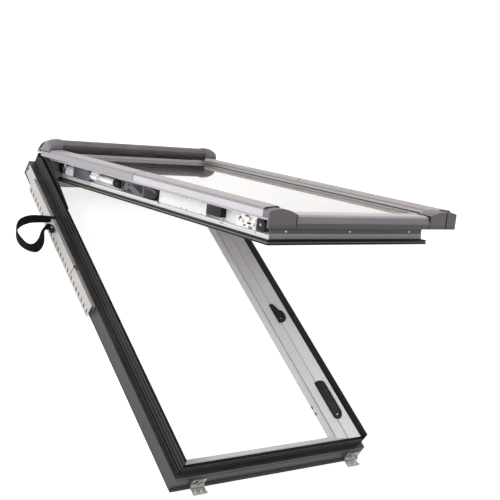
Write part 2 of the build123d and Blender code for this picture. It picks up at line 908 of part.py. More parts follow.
with BuildPart() as stop_blocks:
    for span in ((stop_start, stop_end), (end_block_start, end_block_end)):
        both_sides(bar(span, channel_low + tooth_height, channel_high), hardware_face - sheet, channel_floor)
    both_sides(bar((stop_start - plate, stop_start), channel_low, channel_middle), body_inset, channel_floor)
write(stop_blocks, "stop_blocks", swing)

lock_low = channel_low + lock_gap
lock_high = channel_high - lock_gap
for side, hand in (("left", -1), ("right", 1)):
    start = end_block_end + hardware_joint + lock_gap
    end = start + lock_length
    fifth = lock_length / 5
    outline = [
        (start, lock_low),
        (start + fifth, lock_low),
        (start + fifth, lock_low + tooth_height),
        (start + 2 * fifth, lock_low + tooth_height),
        (start + 2 * fifth, lock_low),
        (end, lock_low),
        (end, lock_high - tooth_height),
        (start + 4 * fifth, lock_high - tooth_height),
        (start + 4 * fifth, lock_high),
        (start + 3 * fifth, lock_high),
        (start + 3 * fifth, lock_high - tooth_height),
        (start + 2 * fifth, lock_high - tooth_height),
        (start + 2 * fifth, lock_high),
        (start, lock_high),
    ]
    with BuildPart() as lock:
        with BuildSketch(Plane.YZ.offset(hand * (half_width - hardware_face))):
            with BuildLine():
                Polyline(*[at(*point) for point in outline], close=True)
            make_face()
        extrude(amount=-hand * (channel_floor - hardware_face - lock_gap))
        with BuildSketch(Plane.YZ.offset(hand * (half_width - hardware_face))):
            with Locations(at(end - fifth / 2, channel_middle)):
                Circle(fifth / 4)
        extrude(amount=hand * tooth_height)
    write(lock, f"lock_{side}", swing)

# Handle on the inner face of the low rail, turning about a spindle along the slope
rail_face = sash_reveal - half_length
handle_height = frame_depth + (body_back + glass_floor) / 2 - handle_drop
rosette_plane = Plane((0, rail_face, handle_height), x_dir=(1, 0, 0), z_dir=(0, 1, 0))
with BuildPart() as rosette:
    with BuildSketch(rosette_plane):
        RectangleRounded(rosette_length, rosette_width, rosette_width / 4)
        Circle(spindle_radius + spindle_clearance, mode=Mode.SUBTRACT)
    extrude(amount=rosette_thickness)
write(rosette, "handle_rosette", swing)

lever_plane = rosette_plane.offset(rosette_thickness + handle_stand)
with BuildPart() as handle:
    with BuildSketch(rosette_plane.offset(glass_gap)):
        Circle(spindle_radius)
    extrude(amount=rosette_thickness + handle_stand + handle_thickness / 2)
    with BuildSketch(lever_plane):
        with Locations((handle_length / 2 - handle_width / 2, 0)):
            SlotOverall(handle_length, handle_width)
    extrude(amount=handle_thickness)
    chamfer(handle.faces().sort_by(Axis.Y)[-1].edges(), length=handle_thickness / 4)
write(handle, "handle", swing)
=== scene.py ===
import json
import math

import bmesh
import bpy
import numpy as np
from mathutils import Matrix, Vector


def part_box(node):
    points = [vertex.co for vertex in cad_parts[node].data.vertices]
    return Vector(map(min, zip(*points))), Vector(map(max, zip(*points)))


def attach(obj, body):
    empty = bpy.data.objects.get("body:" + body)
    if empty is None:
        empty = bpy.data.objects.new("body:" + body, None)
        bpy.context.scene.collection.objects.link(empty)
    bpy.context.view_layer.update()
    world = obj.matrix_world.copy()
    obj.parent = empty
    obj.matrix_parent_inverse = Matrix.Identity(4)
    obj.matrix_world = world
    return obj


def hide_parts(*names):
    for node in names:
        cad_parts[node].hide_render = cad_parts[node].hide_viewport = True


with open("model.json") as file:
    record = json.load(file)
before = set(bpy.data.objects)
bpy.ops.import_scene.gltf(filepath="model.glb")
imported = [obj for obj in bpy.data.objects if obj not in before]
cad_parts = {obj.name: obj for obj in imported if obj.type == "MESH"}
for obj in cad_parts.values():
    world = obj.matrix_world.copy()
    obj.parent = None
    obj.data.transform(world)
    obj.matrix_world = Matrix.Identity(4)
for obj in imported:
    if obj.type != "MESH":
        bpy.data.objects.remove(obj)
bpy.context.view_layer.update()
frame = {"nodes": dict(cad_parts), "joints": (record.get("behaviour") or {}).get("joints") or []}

bl_info = {
    "name": "Top-hung roof window",
    "version": (1, 0, 0),
    "blender": (4, 5, 0),
    "location": "View3D > Sidebar > Roof window",
    "description": "Finishes and fine pieces of a top-hung roof window with its sash open",
    "category": "Add Mesh",
}

# The frame's own measures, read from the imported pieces, and the sash's hinge
SWING = next(joint for joint in frame["joints"] if joint["name"] == "sash_swing")
HINGE = np.array(SWING["pos_m"])
OPENING = -math.radians(SWING["range_deg"][0])
MM = 0.001
# Half the width and half the length, and the height of the frame's front edge, in millimetres
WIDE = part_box("cladding_right")[1].x / MM
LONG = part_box("cladding_left")[1].y / MM
HEAD_DEPTH = 48.0
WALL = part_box("frame_profile_head")[0].z / MM + HEAD_DEPTH


def swung(points):
    """Points given with the sash closed, turned by the opening angle about the hinge axis."""
    points = np.asarray(points, float)
    turn = np.array([
        [1, 0, 0],
        [0, math.cos(OPENING), math.sin(OPENING)],
        [0, -math.sin(OPENING), math.cos(OPENING)],
    ])
    return (points - HINGE) @ turn.T + HINGE


def colour_setting(name, description, default):
    """A colour of the settings panel."""
    return bpy.props.FloatVectorProperty(
        name=name, description=description, default=default, size=3, subtype="COLOR", min=0, max=1)


class FinishSettings(bpy.types.PropertyGroup):
    """Colours of the window's finishes."""

    white: colour_setting(
        "Profiles", "White plastic of the frame and sash profiles", (0.78, 0.765, 0.77))
    cladding: colour_setting(
        "Cladding", "Dark grey paint on the frame's outer cladding", (0.036, 0.031, 0.035))
    upstand: colour_setting(
        "Upstand", "Black of the upstand round the frame", (0.006, 0.0056, 0.006))
    # The rib colour, lighter than the black upstand, is a painted highlight along the ribs
    rib: colour_setting(
        "Ribs", "Dark grey of the ribs along the upstand", (0.020, 0.017, 0.017))
    cover_side: colour_setting(
        "Cover sides", "Pale lilac paint on the outer faces of the side covers",
        (0.52, 0.495, 0.53))
    # This mauve is painted shade: the covers' slanted folds darker than their lit outer faces
    cover_bevel: colour_setting(
        "Cover bevels", "Mauve paint on the folds of the covers", (0.27, 0.245, 0.27))
    # The front colour is mostly painted shade on the low cover's upright face, with a little of its
    # own brown
    low_brow: colour_setting(
        "Low cover brow", "Brown grey on the low cover's upright front", (0.105, 0.088, 0.09))
    low_top: colour_setting(
        "Low cover top", "Pale paint on the top of the low cover", (0.56, 0.545, 0.535))
    cap: colour_setting(
        "End caps", "Mauve grey of the moulded end caps", (0.135, 0.120, 0.138))
    hood: colour_setting(
        "Hood", "Paint of the hood over the pivot", (0.150, 0.132, 0.128))
    rubber: colour_setting("Rubber", "Gaskets and seals", (0.014, 0.013, 0.013))
    steel: colour_setting("Steel", "Bare steel of screws and bolts", (0.58, 0.58, 0.58))
    zinc: colour_setting(
        "Galvanised", "Zinc on the fixing strips and clips", (0.47, 0.45, 0.43))
    webbing: colour_setting("Webbing", "Black yarn of the strap", (0.01, 0.0095, 0.01))
    nylon: colour_setting("Nylon", "White nylon of the racks and guide plates", (0.8, 0.8, 0.8))


class StageSettings(bpy.types.PropertyGroup):
    """The floor, the lamps and the camera."""

    floor: colour_setting("Floor", "Colour of the plain floor", (0.82, 0.82, 0.82))
    floor_lift: bpy.props.FloatProperty(
        name="Floor lift", description="Light added to the floor where the camera looks at it",
        default=0.72, min=0, max=1)
    sky: bpy.props.FloatProperty(
        name="Sky", description="Level of the even light from all round",
        default=0.44, min=0, max=2)
    key_lamp: bpy.props.FloatProperty(
        name="Key lamp", description="Power of the large lamp at the window's left, in watts",
        default=88, min=0, max=500)
    top_lamp: bpy.props.FloatProperty(
        name="Top lamp", description="Power of the soft lamp over the window, in watts",
        default=16, min=0, max=500)
    camera_place: bpy.props.FloatVectorProperty(
        name="Camera place", description="Where the camera stands",
        default=(-1.74683, -1.66308, 2.00991), size=3, subtype="TRANSLATION", unit="LENGTH")
    lens: bpy.props.FloatProperty(
        name="Lens", description="Focal length for a sensor 36 mm wide",
        default=74.44, min=10, max=300, unit="CAMERA")


# Shader helpers
def feed(tree, sockets, sources):
    """Link each named socket to its source, or set it where the source is a plain value."""
    for label, source in sources.items():
        if isinstance(source, bpy.types.NodeSocket):
            tree.links.new(source, sockets[label])
        else:
            sockets[label].default_value = source


def add(tree, kind, sources=None, operation=None):
    """A new shader node with its inputs fed."""
    node = tree.nodes.new(f"ShaderNode{kind}")
    if operation:
        node.operation = operation
    feed(tree, node.inputs, sources or {})
    return node


def calculate(tree, operation, *values, clamp=False):
    """Result of a math node."""
    node = add(tree, "Math", dict(enumerate(values)), operation)
    node.use_clamp = clamp
    return node.outputs["Value"]


def spread(tree, value, low, high, start=0.0, end=1.0):
    """A value between start and end, mapped to low and high."""
    return add(tree, "MapRange", {
        "Value": value, "From Min": start, "From Max": end, "To Min": low, "To Max": high,
    }).outputs["Result"]


def scaled(tree, vector, factor):
    """A colour multiplied by a factor."""
    return add(tree, "VectorMath", {0: vector, "Scale": factor}, "SCALE").outputs["Vector"]


def object_place(tree):
    """Coordinates fixed to the piece."""
    return add(tree, "TexCoord").outputs["Object"]


def noise(tree, vector, scale, detail=2.0, roughness=0.5):
    """Value of a noise texture."""
    return add(tree, "TexNoise", {
        "Vector": vector, "Scale": scale, "Detail": detail, "Roughness": roughness,
    }).outputs["Fac"]


def new_group(name, inputs, outputs):
    """A node group with inputs (name, type, default) and outputs (name, type)."""
    tree = bpy.data.node_groups.new(name, "ShaderNodeTree")
    for label, kind, default in inputs:
        socket = tree.interface.new_socket(
            name=label, in_out="INPUT", socket_type=f"NodeSocket{kind}")
        socket.default_value = default
    for label, kind in outputs:
        tree.interface.new_socket(name=label, in_out="OUTPUT", socket_type=f"NodeSocket{kind}")
    enter = tree.nodes.new("NodeGroupInput")
    leave = tree.nodes.new("NodeGroupOutput")
    return tree, enter.outputs, leave.inputs


SURFACE = [("Color", "Color"), ("Roughness", "Float"), ("Height", "Float")]
PLAIN_WHITE = (1, 1, 1, 1)


def powder_group():
    """Powder coat: a fine orange-peel height and slow patches of gloss and tone."""
    tree, enter, leave = new_group(
        "powder_coat",
        [("Grain", "Float", 1800.0), ("Patch", "Float", 9.0), ("Base", "Color", PLAIN_WHITE)],
        SURFACE)
    place = object_place(tree)
    grain = noise(tree, place, enter["Grain"], detail=3.0)
    patch = noise(tree, place, enter["Patch"], detail=5.0)
    tone = calculate(
        tree, "MULTIPLY",
        spread(tree, patch, 0.90, 1.08), spread(tree, grain, 0.94, 1.06, start=0.35, end=0.65))
    feed(tree, leave, {
        "Color": scaled(tree, enter["Base"], tone),
        "Roughness": spread(tree, patch, 0.32, 0.50),
        "Height": grain})
    return tree


def dust_group():
    """Dust: a soft mask that gathers on faces that look up and in slow clouds."""
    tree, enter, leave = new_group(
        "settled_dust", [("Scale", "Float", 14.0), ("Amount", "Float", 0.2)], [("Mask", "Float")])
    cloud = noise(tree, object_place(tree), enter["Scale"], detail=8.0, roughness=0.65)
    normal = add(tree, "NewGeometry").outputs["Normal"]
    upward = add(tree, "SeparateXYZ", {"Vector": normal}).outputs["Z"]
    clouds = spread(tree, cloud, 0.0, 1.0, start=0.42, end=0.75)
    lying = calculate(tree, "MULTIPLY", upward, clouds, clamp=True)
    feed(tree, leave, {"Mask": calculate(tree, "MULTIPLY", lying, enter["Amount"])})
    return tree


def brushed_group():
    """Rolled or brushed metal: noise drawn out along the window's length."""
    tree, enter, leave = new_group(
        "drawn_grain",
        [("Across", "Float", 900.0), ("Along", "Float", 12.0), ("Base", "Color", PLAIN_WHITE),
         ("Smooth", "Float", 0.22), ("Rough", "Float", 0.48)],
        SURFACE)
    stretch = add(tree, "CombineXYZ", {
        "X": enter["Across"], "Y": enter["Along"], "Z": enter["Across"]})
    drawn = add(tree, "VectorMath", {0: object_place(tree), 1: stretch.outputs["Vector"]},
                "MULTIPLY")
    lines = noise(tree, drawn.outputs["Vector"], 1.0, detail=4.0)
    feed(tree, leave, {
        "Color": scaled(tree, enter["Base"], spread(tree, lines, 0.82, 1.12)),
        "Roughness": spread(tree, lines, enter["Smooth"], enter["Rough"]),
        "Height": lines})
    return tree


GROUPS = {}


def place_group(tree, maker, **values):
    """Outputs of a shared effect, made when first asked for, with this material's values."""
    if maker not in GROUPS:
        GROUPS[maker] = maker()
    node = tree.nodes.new("ShaderNodeGroup")
    node.node_tree = GROUPS[maker]
    feed(tree, node.inputs, values)
    return node.outputs


def add_object(name, data):
    """A new object in the scene."""
    made = bpy.data.objects.new(name, data)
    bpy.context.scene.collection.objects.link(made)
    return made


def start_material(name):
    """An empty node material with its Principled shader and tree."""
    material = bpy.data.materials.new(name)
    material.use_nodes = True
    return material, material.node_tree, material.node_tree.nodes["Principled BSDF"]


def bump(tree, shader, height, strength, distance):
    """Feed a height into the shader's normal."""
    made = add(tree, "Bump", {"Height": height, "Strength": strength, "Distance": distance})
    tree.links.new(made.outputs["Normal"], shader.inputs["Normal"])


DUST_COLOUR = (0.72, 0.71, 0.69, 1)


def painted(name, colour, metallic=0.0, grain=1800.0, depth=0.00004, dust=0.06, coat=0.0,
            specular=0.5):
    """Powder-coated sheet or moulded plastic with fine grain and a little settled dust."""
    material, tree, shader = start_material(name)
    powder = place_group(tree, powder_group, Grain=grain, Base=(*colour, 1))
    dusty = place_group(tree, dust_group, Amount=dust)
    blend = tree.nodes.new("ShaderNodeMix")
    blend.data_type = "RGBA"
    factor, first, second, result = 0, 6, 7, 2
    feed(tree, blend.inputs, {
        factor: dusty["Mask"], first: powder["Color"], second: DUST_COLOUR})
    feed(tree, shader.inputs, {
        "Base Color": blend.outputs[result], "Roughness": powder["Roughness"],
        "Metallic": metallic, "Coat Weight": coat, "Coat Roughness": 0.2,
        "Specular IOR Level": specular})
    bump(tree, shader, powder["Height"], strength=0.35, distance=depth)
    return material


def drawn_metal(name, colour, across=900.0, along=12.0, metallic=1.0, gloss=(0.22, 0.48)):
    """Drawn, rolled or turned metal with its grain along the piece."""
    material, tree, shader = start_material(name)
    grain = place_group(tree, brushed_group, Across=across, Along=along, Base=(*colour, 1),
                        Smooth=gloss[0], Rough=gloss[1])
    feed(tree, shader.inputs, {
        "Base Color": grain["Color"], "Roughness": grain["Roughness"], "Metallic": metallic})
    bump(tree, shader, grain["Height"], strength=0.2, distance=0.00005)
    return material


def window_glass(name):
    """Clear float glass with a faint warm tint and a very slow waviness."""
    material, tree, shader = start_material(name)
    feed(tree, shader.inputs, {
        "Base Color": (0.88, 0.847, 0.82, 1), "Specular Tint": (1.0, 0.975, 0.94, 1),
        "Transmission Weight": 1.0, "Roughness": 0.015, "IOR": 1.5})
    ripple = noise(tree, object_place(tree), 3.0)
    bump(tree, shader, ripple, strength=0.05, distance=0.0004)
    return material


def webbing_material(name, colour):
    """Woven webbing: crossed ribs along the piece's own UV, matt."""
    material, tree, shader = start_material(name)
    place = add(tree, "UVMap").outputs["UV"]
    split = add(tree, "SeparateXYZ", {"Vector": place}).outputs
    waves = [calculate(tree, "SINE", calculate(tree, "MULTIPLY", split[axis], ribs * math.tau))
             for axis, ribs in (("X", 260.0), ("Y", 16.0))]
    woven = calculate(tree, "MULTIPLY", *waves)
    feed(tree, shader.inputs, {
        "Base Color": scaled(tree, tuple(colour), spread(tree, woven, 0.6, 1.5, start=-1.0)),
        "Roughness": 0.85, "Specular IOR Level": 0.1})
    bump(tree, shader, woven, strength=0.6, distance=0.0003)
    return material


FINISHES = {}


def toned(colour, factor):
    """A colour made lighter or darker by a factor."""
    return [factor * value for value in colour]


def make_finishes(colours):
    """Every finish of the window, by its name."""
    smooth = {"grain": 900.0, "depth": 0.00002, "dust": 0.0, "coat": 0.3}
    moulded = {"grain": 1300.0, "coat": 0.15}
    rolled = {"across": 260.0, "along": 180.0}
    bevel, black = colours.cover_bevel, (0.010, 0.010, 0.011)
    slate = [value * part for value, part in zip(toned(bevel, 0.72), (0.42, 0.45, 0.55))]
    FINISHES.update(
        white=painted("white_profile", colours.white, **smooth),
        # The profile white darkened to 0.73: painted shade on the same white plastic
        jamb=painted("white_jamb", toned(colours.white, 0.73), **smooth),
        soft_line=painted("grey_line", (0.52, 0.51, 0.52), grain=900.0, dust=0.0),
        cladding=painted("grey_cladding", colours.cladding, metallic=0.15),
        upstand=painted("black_upstand", colours.upstand, dust=0.01, specular=0.12),
        # The ribs are lighter than the black upstand: painted highlight
        rib=painted("upstand_rib", colours.rib, dust=0.03, specular=0.6),
        black=painted("black_steel", colours.upstand, dust=0.01, specular=0.25),
        cover_side=painted("cover_side", colours.cover_side, metallic=0.15, dust=0.02),
        # The high covers' paint is the side paint darkened to 0.60: painted shade along the upper
        # sash
        cover_high=painted("cover_high", toned(colours.cover_side, 0.60), metallic=0.15, dust=0.02),
        # These three cover finishes are painted shade: darker copies of the covers' one paint, face
        # by face
        cover_bevel=painted("cover_bevel", bevel, metallic=0.2, dust=0.03),
        cover_top=painted("cover_top", (0.40, 0.365, 0.36), metallic=0.15, dust=0.04),
        cover_fold=painted("cover_fold", (0.44, 0.395, 0.36), metallic=0.1, dust=0.02),
        # Front and shoulder are painted shade and the edge a painted highlight: shaded and lit
        # copies of the low cover's paint
        low_brow=painted("low_brow", colours.low_brow, metallic=0.1, dust=0.02),
        low_shoulder=painted("low_shoulder", toned(bevel, 0.85), metallic=0.2),
        low_edge=painted("low_edge", toned(bevel, 1.5), metallic=0.2),
        low_top=painted("low_top", colours.low_top, metallic=0.1, dust=0.02),
        cap=painted("moulded_cap", colours.cap, **moulded),
        hood=painted("hood_paint", colours.hood, metallic=0.45),
        # The hood's paint darkened to 0.40: painted shade on the face that looks down the slope
        hood_front=painted("hood_front", toned(colours.hood, 0.40), metallic=0.2),
        hood_cap=painted("hood_cap", toned(colours.cap, 1.15), **moulded),
        rubber=painted("seal", colours.rubber, grain=700.0, depth=0.0001, dust=0.01, specular=0.15),
        lip=painted("seal_lip", (0.20, 0.195, 0.19), grain=700.0, dust=0.03),
        steel=drawn_metal("plain_steel", colours.steel),
        chrome=drawn_metal("bright_cylinder", (0.84, 0.89, 0.90), across=500.0, along=3.0,
                           metallic=0.25, gloss=(0.12, 0.24)),
        zinc=drawn_metal("galvanised", colours.zinc, metallic=0.35, **rolled),
        # A lighter copy of the galvanised zinc: painted highlight on the strips' corners and the
        # clips' bars
        zinc_bright=drawn_metal("bright_zinc", (0.78, 0.76, 0.72), metallic=0.2, **rolled),
        lock=drawn_metal("lock_metal", (0.82, 0.82, 0.76), across=300.0, along=90.0, metallic=0.4),
        silver=drawn_metal("silver_face", (0.30, 0.295, 0.31), metallic=0.5),
        screw_strip=painted("screw_strip", (0.135, 0.128, 0.135), dust=0.02),
        bead=drawn_metal("silver_bead", (0.36, 0.355, 0.38), metallic=0.6),
        handle=drawn_metal("handle_metal", (0.62, 0.62, 0.64), across=700.0, along=40.0,
                           gloss=(0.16, 0.30)),
        nylon=painted("toothed_rack", colours.nylon, grain=1100.0, dust=0.0),
        plate=painted("guide_plate", colours.nylon, grain=900.0, dust=0.0, coat=0.2),
        slate=painted("slate_block", slate, grain=1100.0, dust=0.02),
        gear_grey=painted("gear_housing", (0.085, 0.082, 0.092), grain=1100.0, dust=0.04),
        dark=painted("dark_hardware", black, grain=1100.0, dust=0.01, specular=0.2),
        strike=painted("strike_moulding", black, grain=1500.0, depth=0.00008, dust=0.01,
                       specular=0.12),
        spacer=drawn_metal("spacer", (0.55, 0.55, 0.55)),
        glass=window_glass("pane"),
        webbing=webbing_material("webbing", colours.webbing),
    )


class WINDOW_OT_finishes(bpy.types.Operator):
    """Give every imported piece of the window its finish"""

    bl_idname = "window.finishes"
    bl_label = "Finishes"

    # The head and side frame profiles take the painted-shade white, the sill the plain white
    rules = (
        ("frame_profile_sill", "white"), ("frame_profile", "jamb"), ("cladding", "cladding"),
        ("upstand", "upstand"), ("frame_hinge", "black"), ("strike", "strike"), ("strip", "zinc"),
        ("sill_clip", "zinc"), ("strap_clamp", "dark"), ("strap", "webbing"),
        ("sash_profile", "white"), ("sash_gasket", "rubber"), ("sash_hinge", "black"),
        ("glass_spacer", "spacer"), ("glass", "glass"), ("side_cover", "cover_side"),
        ("low_cover", "low_top"), ("low_cap", "cap"), ("hood_", "hood_cap"), ("hood", "hood"),
        ("glazing_bead", "bead"), ("pivot_racks", "nylon"), ("drive_blocks", "slate"),
        ("dampers", "chrome"), ("gearboxes", "gear_grey"), ("guide_plates", "plate"),
        ("stop_blocks", "dark"), ("lock", "lock"), ("handle", "handle"),
    )

    def execute(self, context):
        """Match each node by the start of its name, and give it one finish all over."""
        make_finishes(context.scene.window_finishes)
        for name, node in frame["nodes"].items():
            finish = next(finish for start, finish in self.rules if name.startswith(start))
            node.data.materials.clear()
            node.data.materials.append(FINISHES[finish])
        return {"FINISHED"}


# Outlines, in millimetres: the inset from the frame's outer face or the distance up the
# slope, and the height above the frame's front edge
def rounded(points, radius, steps=4):
    """Closed outline with each corner cut back by a radius and drawn as a quadratic curve."""
    points = np.asarray(points, float)
    t = np.linspace(0, 1, steps)[None, :, None]
    arms = []
    for turn in (1, -1):
        arm = np.roll(points, turn, axis=0) - points
        length = np.linalg.norm(arm, axis=1, keepdims=True)
        arms.append(points + arm / length * np.minimum(radius, 0.45 * length))
    start, end, middle = arms[0][:, None], arms[1][:, None], points[:, None]
    curve = (1 - t) ** 2 * start + 2 * t * (1 - t) * middle + t ** 2 * end
    return curve.reshape(-1, 2)


def bands_of(bands, steps=4):
    """Slot of each side of a rounded outline: a corner takes the slot of the side after it."""
    return np.repeat(np.asarray(bands), steps)


def shrink(outline, amount):
    """Closed outline moved inwards along the mean normal of each point's two sides."""
    after = np.roll(outline, -1, axis=0) - outline
    x, y = outline.T
    area = np.sum(x * np.roll(y, -1) - np.roll(x, -1) * y)
    normal = np.stack([-after[:, 1], after[:, 0]], axis=1) * np.sign(area)
    normal /= np.maximum(np.linalg.norm(normal, axis=1, keepdims=True), 1e-9)
    mean = normal + np.roll(normal, 1, axis=0)
    mean /= np.maximum(np.linalg.norm(mean, axis=1, keepdims=True), 1e-9)
    return outline + mean * amount


def folded(line, thickness):
    """Closed outline of a sheet: the outer line and the same line moved to its right."""
    line = np.asarray(line, float)
    step = np.diff(line, axis=0)
    normal = np.stack([step[:, 1], -step[:, 0]], axis=1)
    normal /= np.linalg.norm(step, axis=1, keepdims=True)
    mean = np.vstack([normal[:1], normal[:-1] + normal[1:], normal[-1:]])
    reach = np.sum(mean * np.vstack([normal, normal[-1:]]), axis=1, keepdims=True)
    mean *= thickness / np.maximum(reach, 0.2)
    mean[0] = normal[0] * thickness
    mean[-1] = normal[-1] * thickness
    return np.vstack([line, (line + mean)[::-1]])


def arc(first, middle, last, steps):
    """Points of the circle through three points, from the first to the last."""
    a, b, c = (np.asarray(point, float) for point in (first, middle, last))
    (bx, by), (cx, cy) = b - a, c - a
    cross = 2 * (bx * cy - by * cx)
    ab, ac = np.dot(b - a, b - a), np.dot(c - a, c - a)
    centre = a + np.array([cy * ab - by * ac, bx * ac - cx * ab]) / cross
    start, through, end = (math.atan2(*(point - centre)[::-1]) for point in (a, b, c))
    sweep = (end - start) % math.tau
    if (through - start) % math.tau > sweep:
        sweep -= math.tau
    turn = start + np.linspace(0, sweep, steps)
    return centre + np.linalg.norm(a - centre) * np.stack([np.cos(turn), np.sin(turn)], axis=1)


def soft_steps(outline, start, end, radius, ends=(True, True), steps=4):
    """An outline's copies from start to end, drawn in at each soft end by a quarter circle."""
    turn = np.linspace(0, math.pi / 2, steps)
    sign = 1 if end > start else -1
    rows = []
    for place, inward, soft in ((start, sign, ends[0]), (end, -sign, ends[1])):
        part = [(outline, place)]
        if soft:
            part = [(shrink(outline, radius * (1 - math.sin(a))),
                     place + inward * radius * (1 - math.cos(a))) for a in turn]
        rows += part if place == start else part[::-1]
    return rows


# Places on the window
HANDS = (-1, 1)
SIDES = (("left", -1), ("right", 1))


def spot(hand, inset, distance, height):
    """The point at an inset from the left (-1) or right (1) side."""
    return hand * (WIDE - inset), distance - LONG, WALL + height


def standing(outline, x):
    """An outline (distance up the slope, height) standing at a place across the window."""
    distance, height = np.asarray(outline, float).T
    return np.stack([np.full_like(distance, x), distance - LONG, WALL + height], axis=1)


def on_side(side, outline, along):
    """A section (inset, height) at a distance along one side of the window."""
    inset, height = np.asarray(outline, float).T
    hand = -1 if side in ("left", "sill") else 1
    if side in ("left", "right"):
        place = [hand * (WIDE - inset), np.full_like(inset, along - LONG)]
    else:
        place = [np.full_like(inset, along - WIDE), hand * (LONG - inset)]
    return np.stack([*place, WALL + height], axis=1)


class Shape:
    """Surfaces gathered for one piece, in millimetres, each with its slot."""

    def __init__(self):
        self.points, self.faces, self.slots, self.count = [], [], [], 0

    def loft(self, rows, slot=0, loop=False):
        """Skin closed rows one after another; the ends are capped unless the rows loop."""
        rows = np.asarray(rows, float)
        n, k, _ = rows.shape
        index = np.arange(n * k).reshape(n, k) + self.count
        if loop:
            index = np.vstack([index, index[:1]])
        side = np.roll(index, -1, axis=1)
        quads = np.stack([index[:-1], side[:-1], side[1:], index[1:]], axis=-1).reshape(-1, 4)
        self.faces += quads.tolist()
        self.slots += np.tile(np.broadcast_to(slot, k), len(index) - 1).tolist()
        if not loop:
            self.faces += [index[0][::-1].tolist(), index[-1].tolist()]
            self.slots += [int(np.broadcast_to(slot, k)[-1])] * 2
        self.points.append(rows.reshape(-1, 3))
        self.count += n * k
        return self

    def beam(self, side, outline, span, slot=0):
        """A section carried straight along one side between two distances."""
        return self.loft([on_side(side, outline, along) for along in span], slot)

    def ring(self, outline, slot=0):
        """A section carried round the window and mitred at its four corners."""
        inset, height = np.asarray(outline, float).T
        rows = [np.stack([x * (WIDE - inset), y * (LONG - inset), WALL + height], axis=1)
                for x, y in ((-1, -1), (1, -1), (1, 1), (-1, 1))]
        return self.loft(rows, slot, loop=True)

    def block(self, outline, near, far, radius=0.8, slot=0, hands=HANDS):
        """An outline in the side channels between two insets, soft at its outer end."""
        for hand in hands:
            rows = soft_steps(np.asarray(outline, float), near, far, radius, (True, False))
            self.loft([standing(line, hand * (WIDE - inset)) for line, inset in rows], slot)
        return self

    def turned(self, profile, origin, axis, slot=0, count=24):
        """A profile (distance along an axis, radius) turned about the axis."""
        axis = np.asarray(axis, float) / np.linalg.norm(axis)
        side = np.cross(axis, (0.3, 0.5, 0.81))
        side /= np.linalg.norm(side)
        other = np.cross(axis, side)
        turn = np.linspace(0, math.tau, count, endpoint=False)
        circle = np.cos(turn)[:, None] * side + np.sin(turn)[:, None] * other
        rows = [np.asarray(origin) + axis * along + circle * max(radius, 0.02)
                for along, radius in profile]
        return self.loft(rows, slot)

    def knob(self, profile, inset, distance, height, slot=0, count=24, hands=HANDS):
        """A turned profile that points outwards from a place at each side."""
        for hand in hands:
            self.turned(profile, spot(hand, inset, distance, height), (hand, 0, 0), slot, count)
        return self


def bar(start, end, low, high):
    """Outline of a stretch between two heights."""
    return [(start, low), (end, low), (end, high), (start, high)]


def soft_bar(start, end, low, high, radius):
    """The same outline with round corners."""
    return rounded(bar(start, end, low, high), radius)


def half_round(inset, height, radius):
    """Outline of a bead that stands outwards from a face at an inset."""
    turn = np.linspace(-math.pi / 2, math.pi / 2, 7)
    return np.stack([inset - radius * np.cos(turn), height + radius * np.sin(turn)], axis=1)


def squared(wave, power):
    """A wave raised to a power with its sign kept, which squares up a round section."""
    return np.sign(wave) * np.abs(wave) ** power


def finish_piece(name, shape, body, finishes, replaced=(), sharp=38, uv=None):
    """Make the mesh of a shape, swing it with the sash, and give it its slots and its body."""
    mesh = bpy.data.meshes.new(name)
    points = np.vstack(shape.points) * MM
    mesh.from_pydata((points if body == "frame" else swung(points)).tolist(), [], shape.faces)
    for finish in finishes:
        mesh.materials.append(FINISHES[finish])
    mesh.polygons.foreach_set("material_index", shape.slots)
    if uv is not None:
        layer = mesh.uv_layers.new(name="weave")
        corners = np.empty(len(mesh.loops), dtype=np.int32)
        mesh.loops.foreach_get("vertex_index", corners)
        layer.data.foreach_set("uv", uv[corners].ravel())
    work = bmesh.new()
    work.from_mesh(mesh)
    bmesh.ops.recalc_face_normals(work, faces=work.faces)
    work.to_mesh(mesh)
    work.free()
    mesh.shade_smooth()
    mesh.set_sharp_from_angle(angle=math.radians(sharp))
    piece = add_object(name, mesh)
    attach(piece, body)
    if replaced:
        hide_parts(*replaced)


PAN_HEAD = ((0, 3.6), (0.7, 3.5), (1.5, 2.7), (1.8, 1.6), (1.8, 1.1), (1.0, 1.0), (1.0, 0))
HEX_HEAD = ((1.2, 6.5), (1.3, 4.6), (4.6, 4.6), (5.2, 4.0), (5.2, 0))


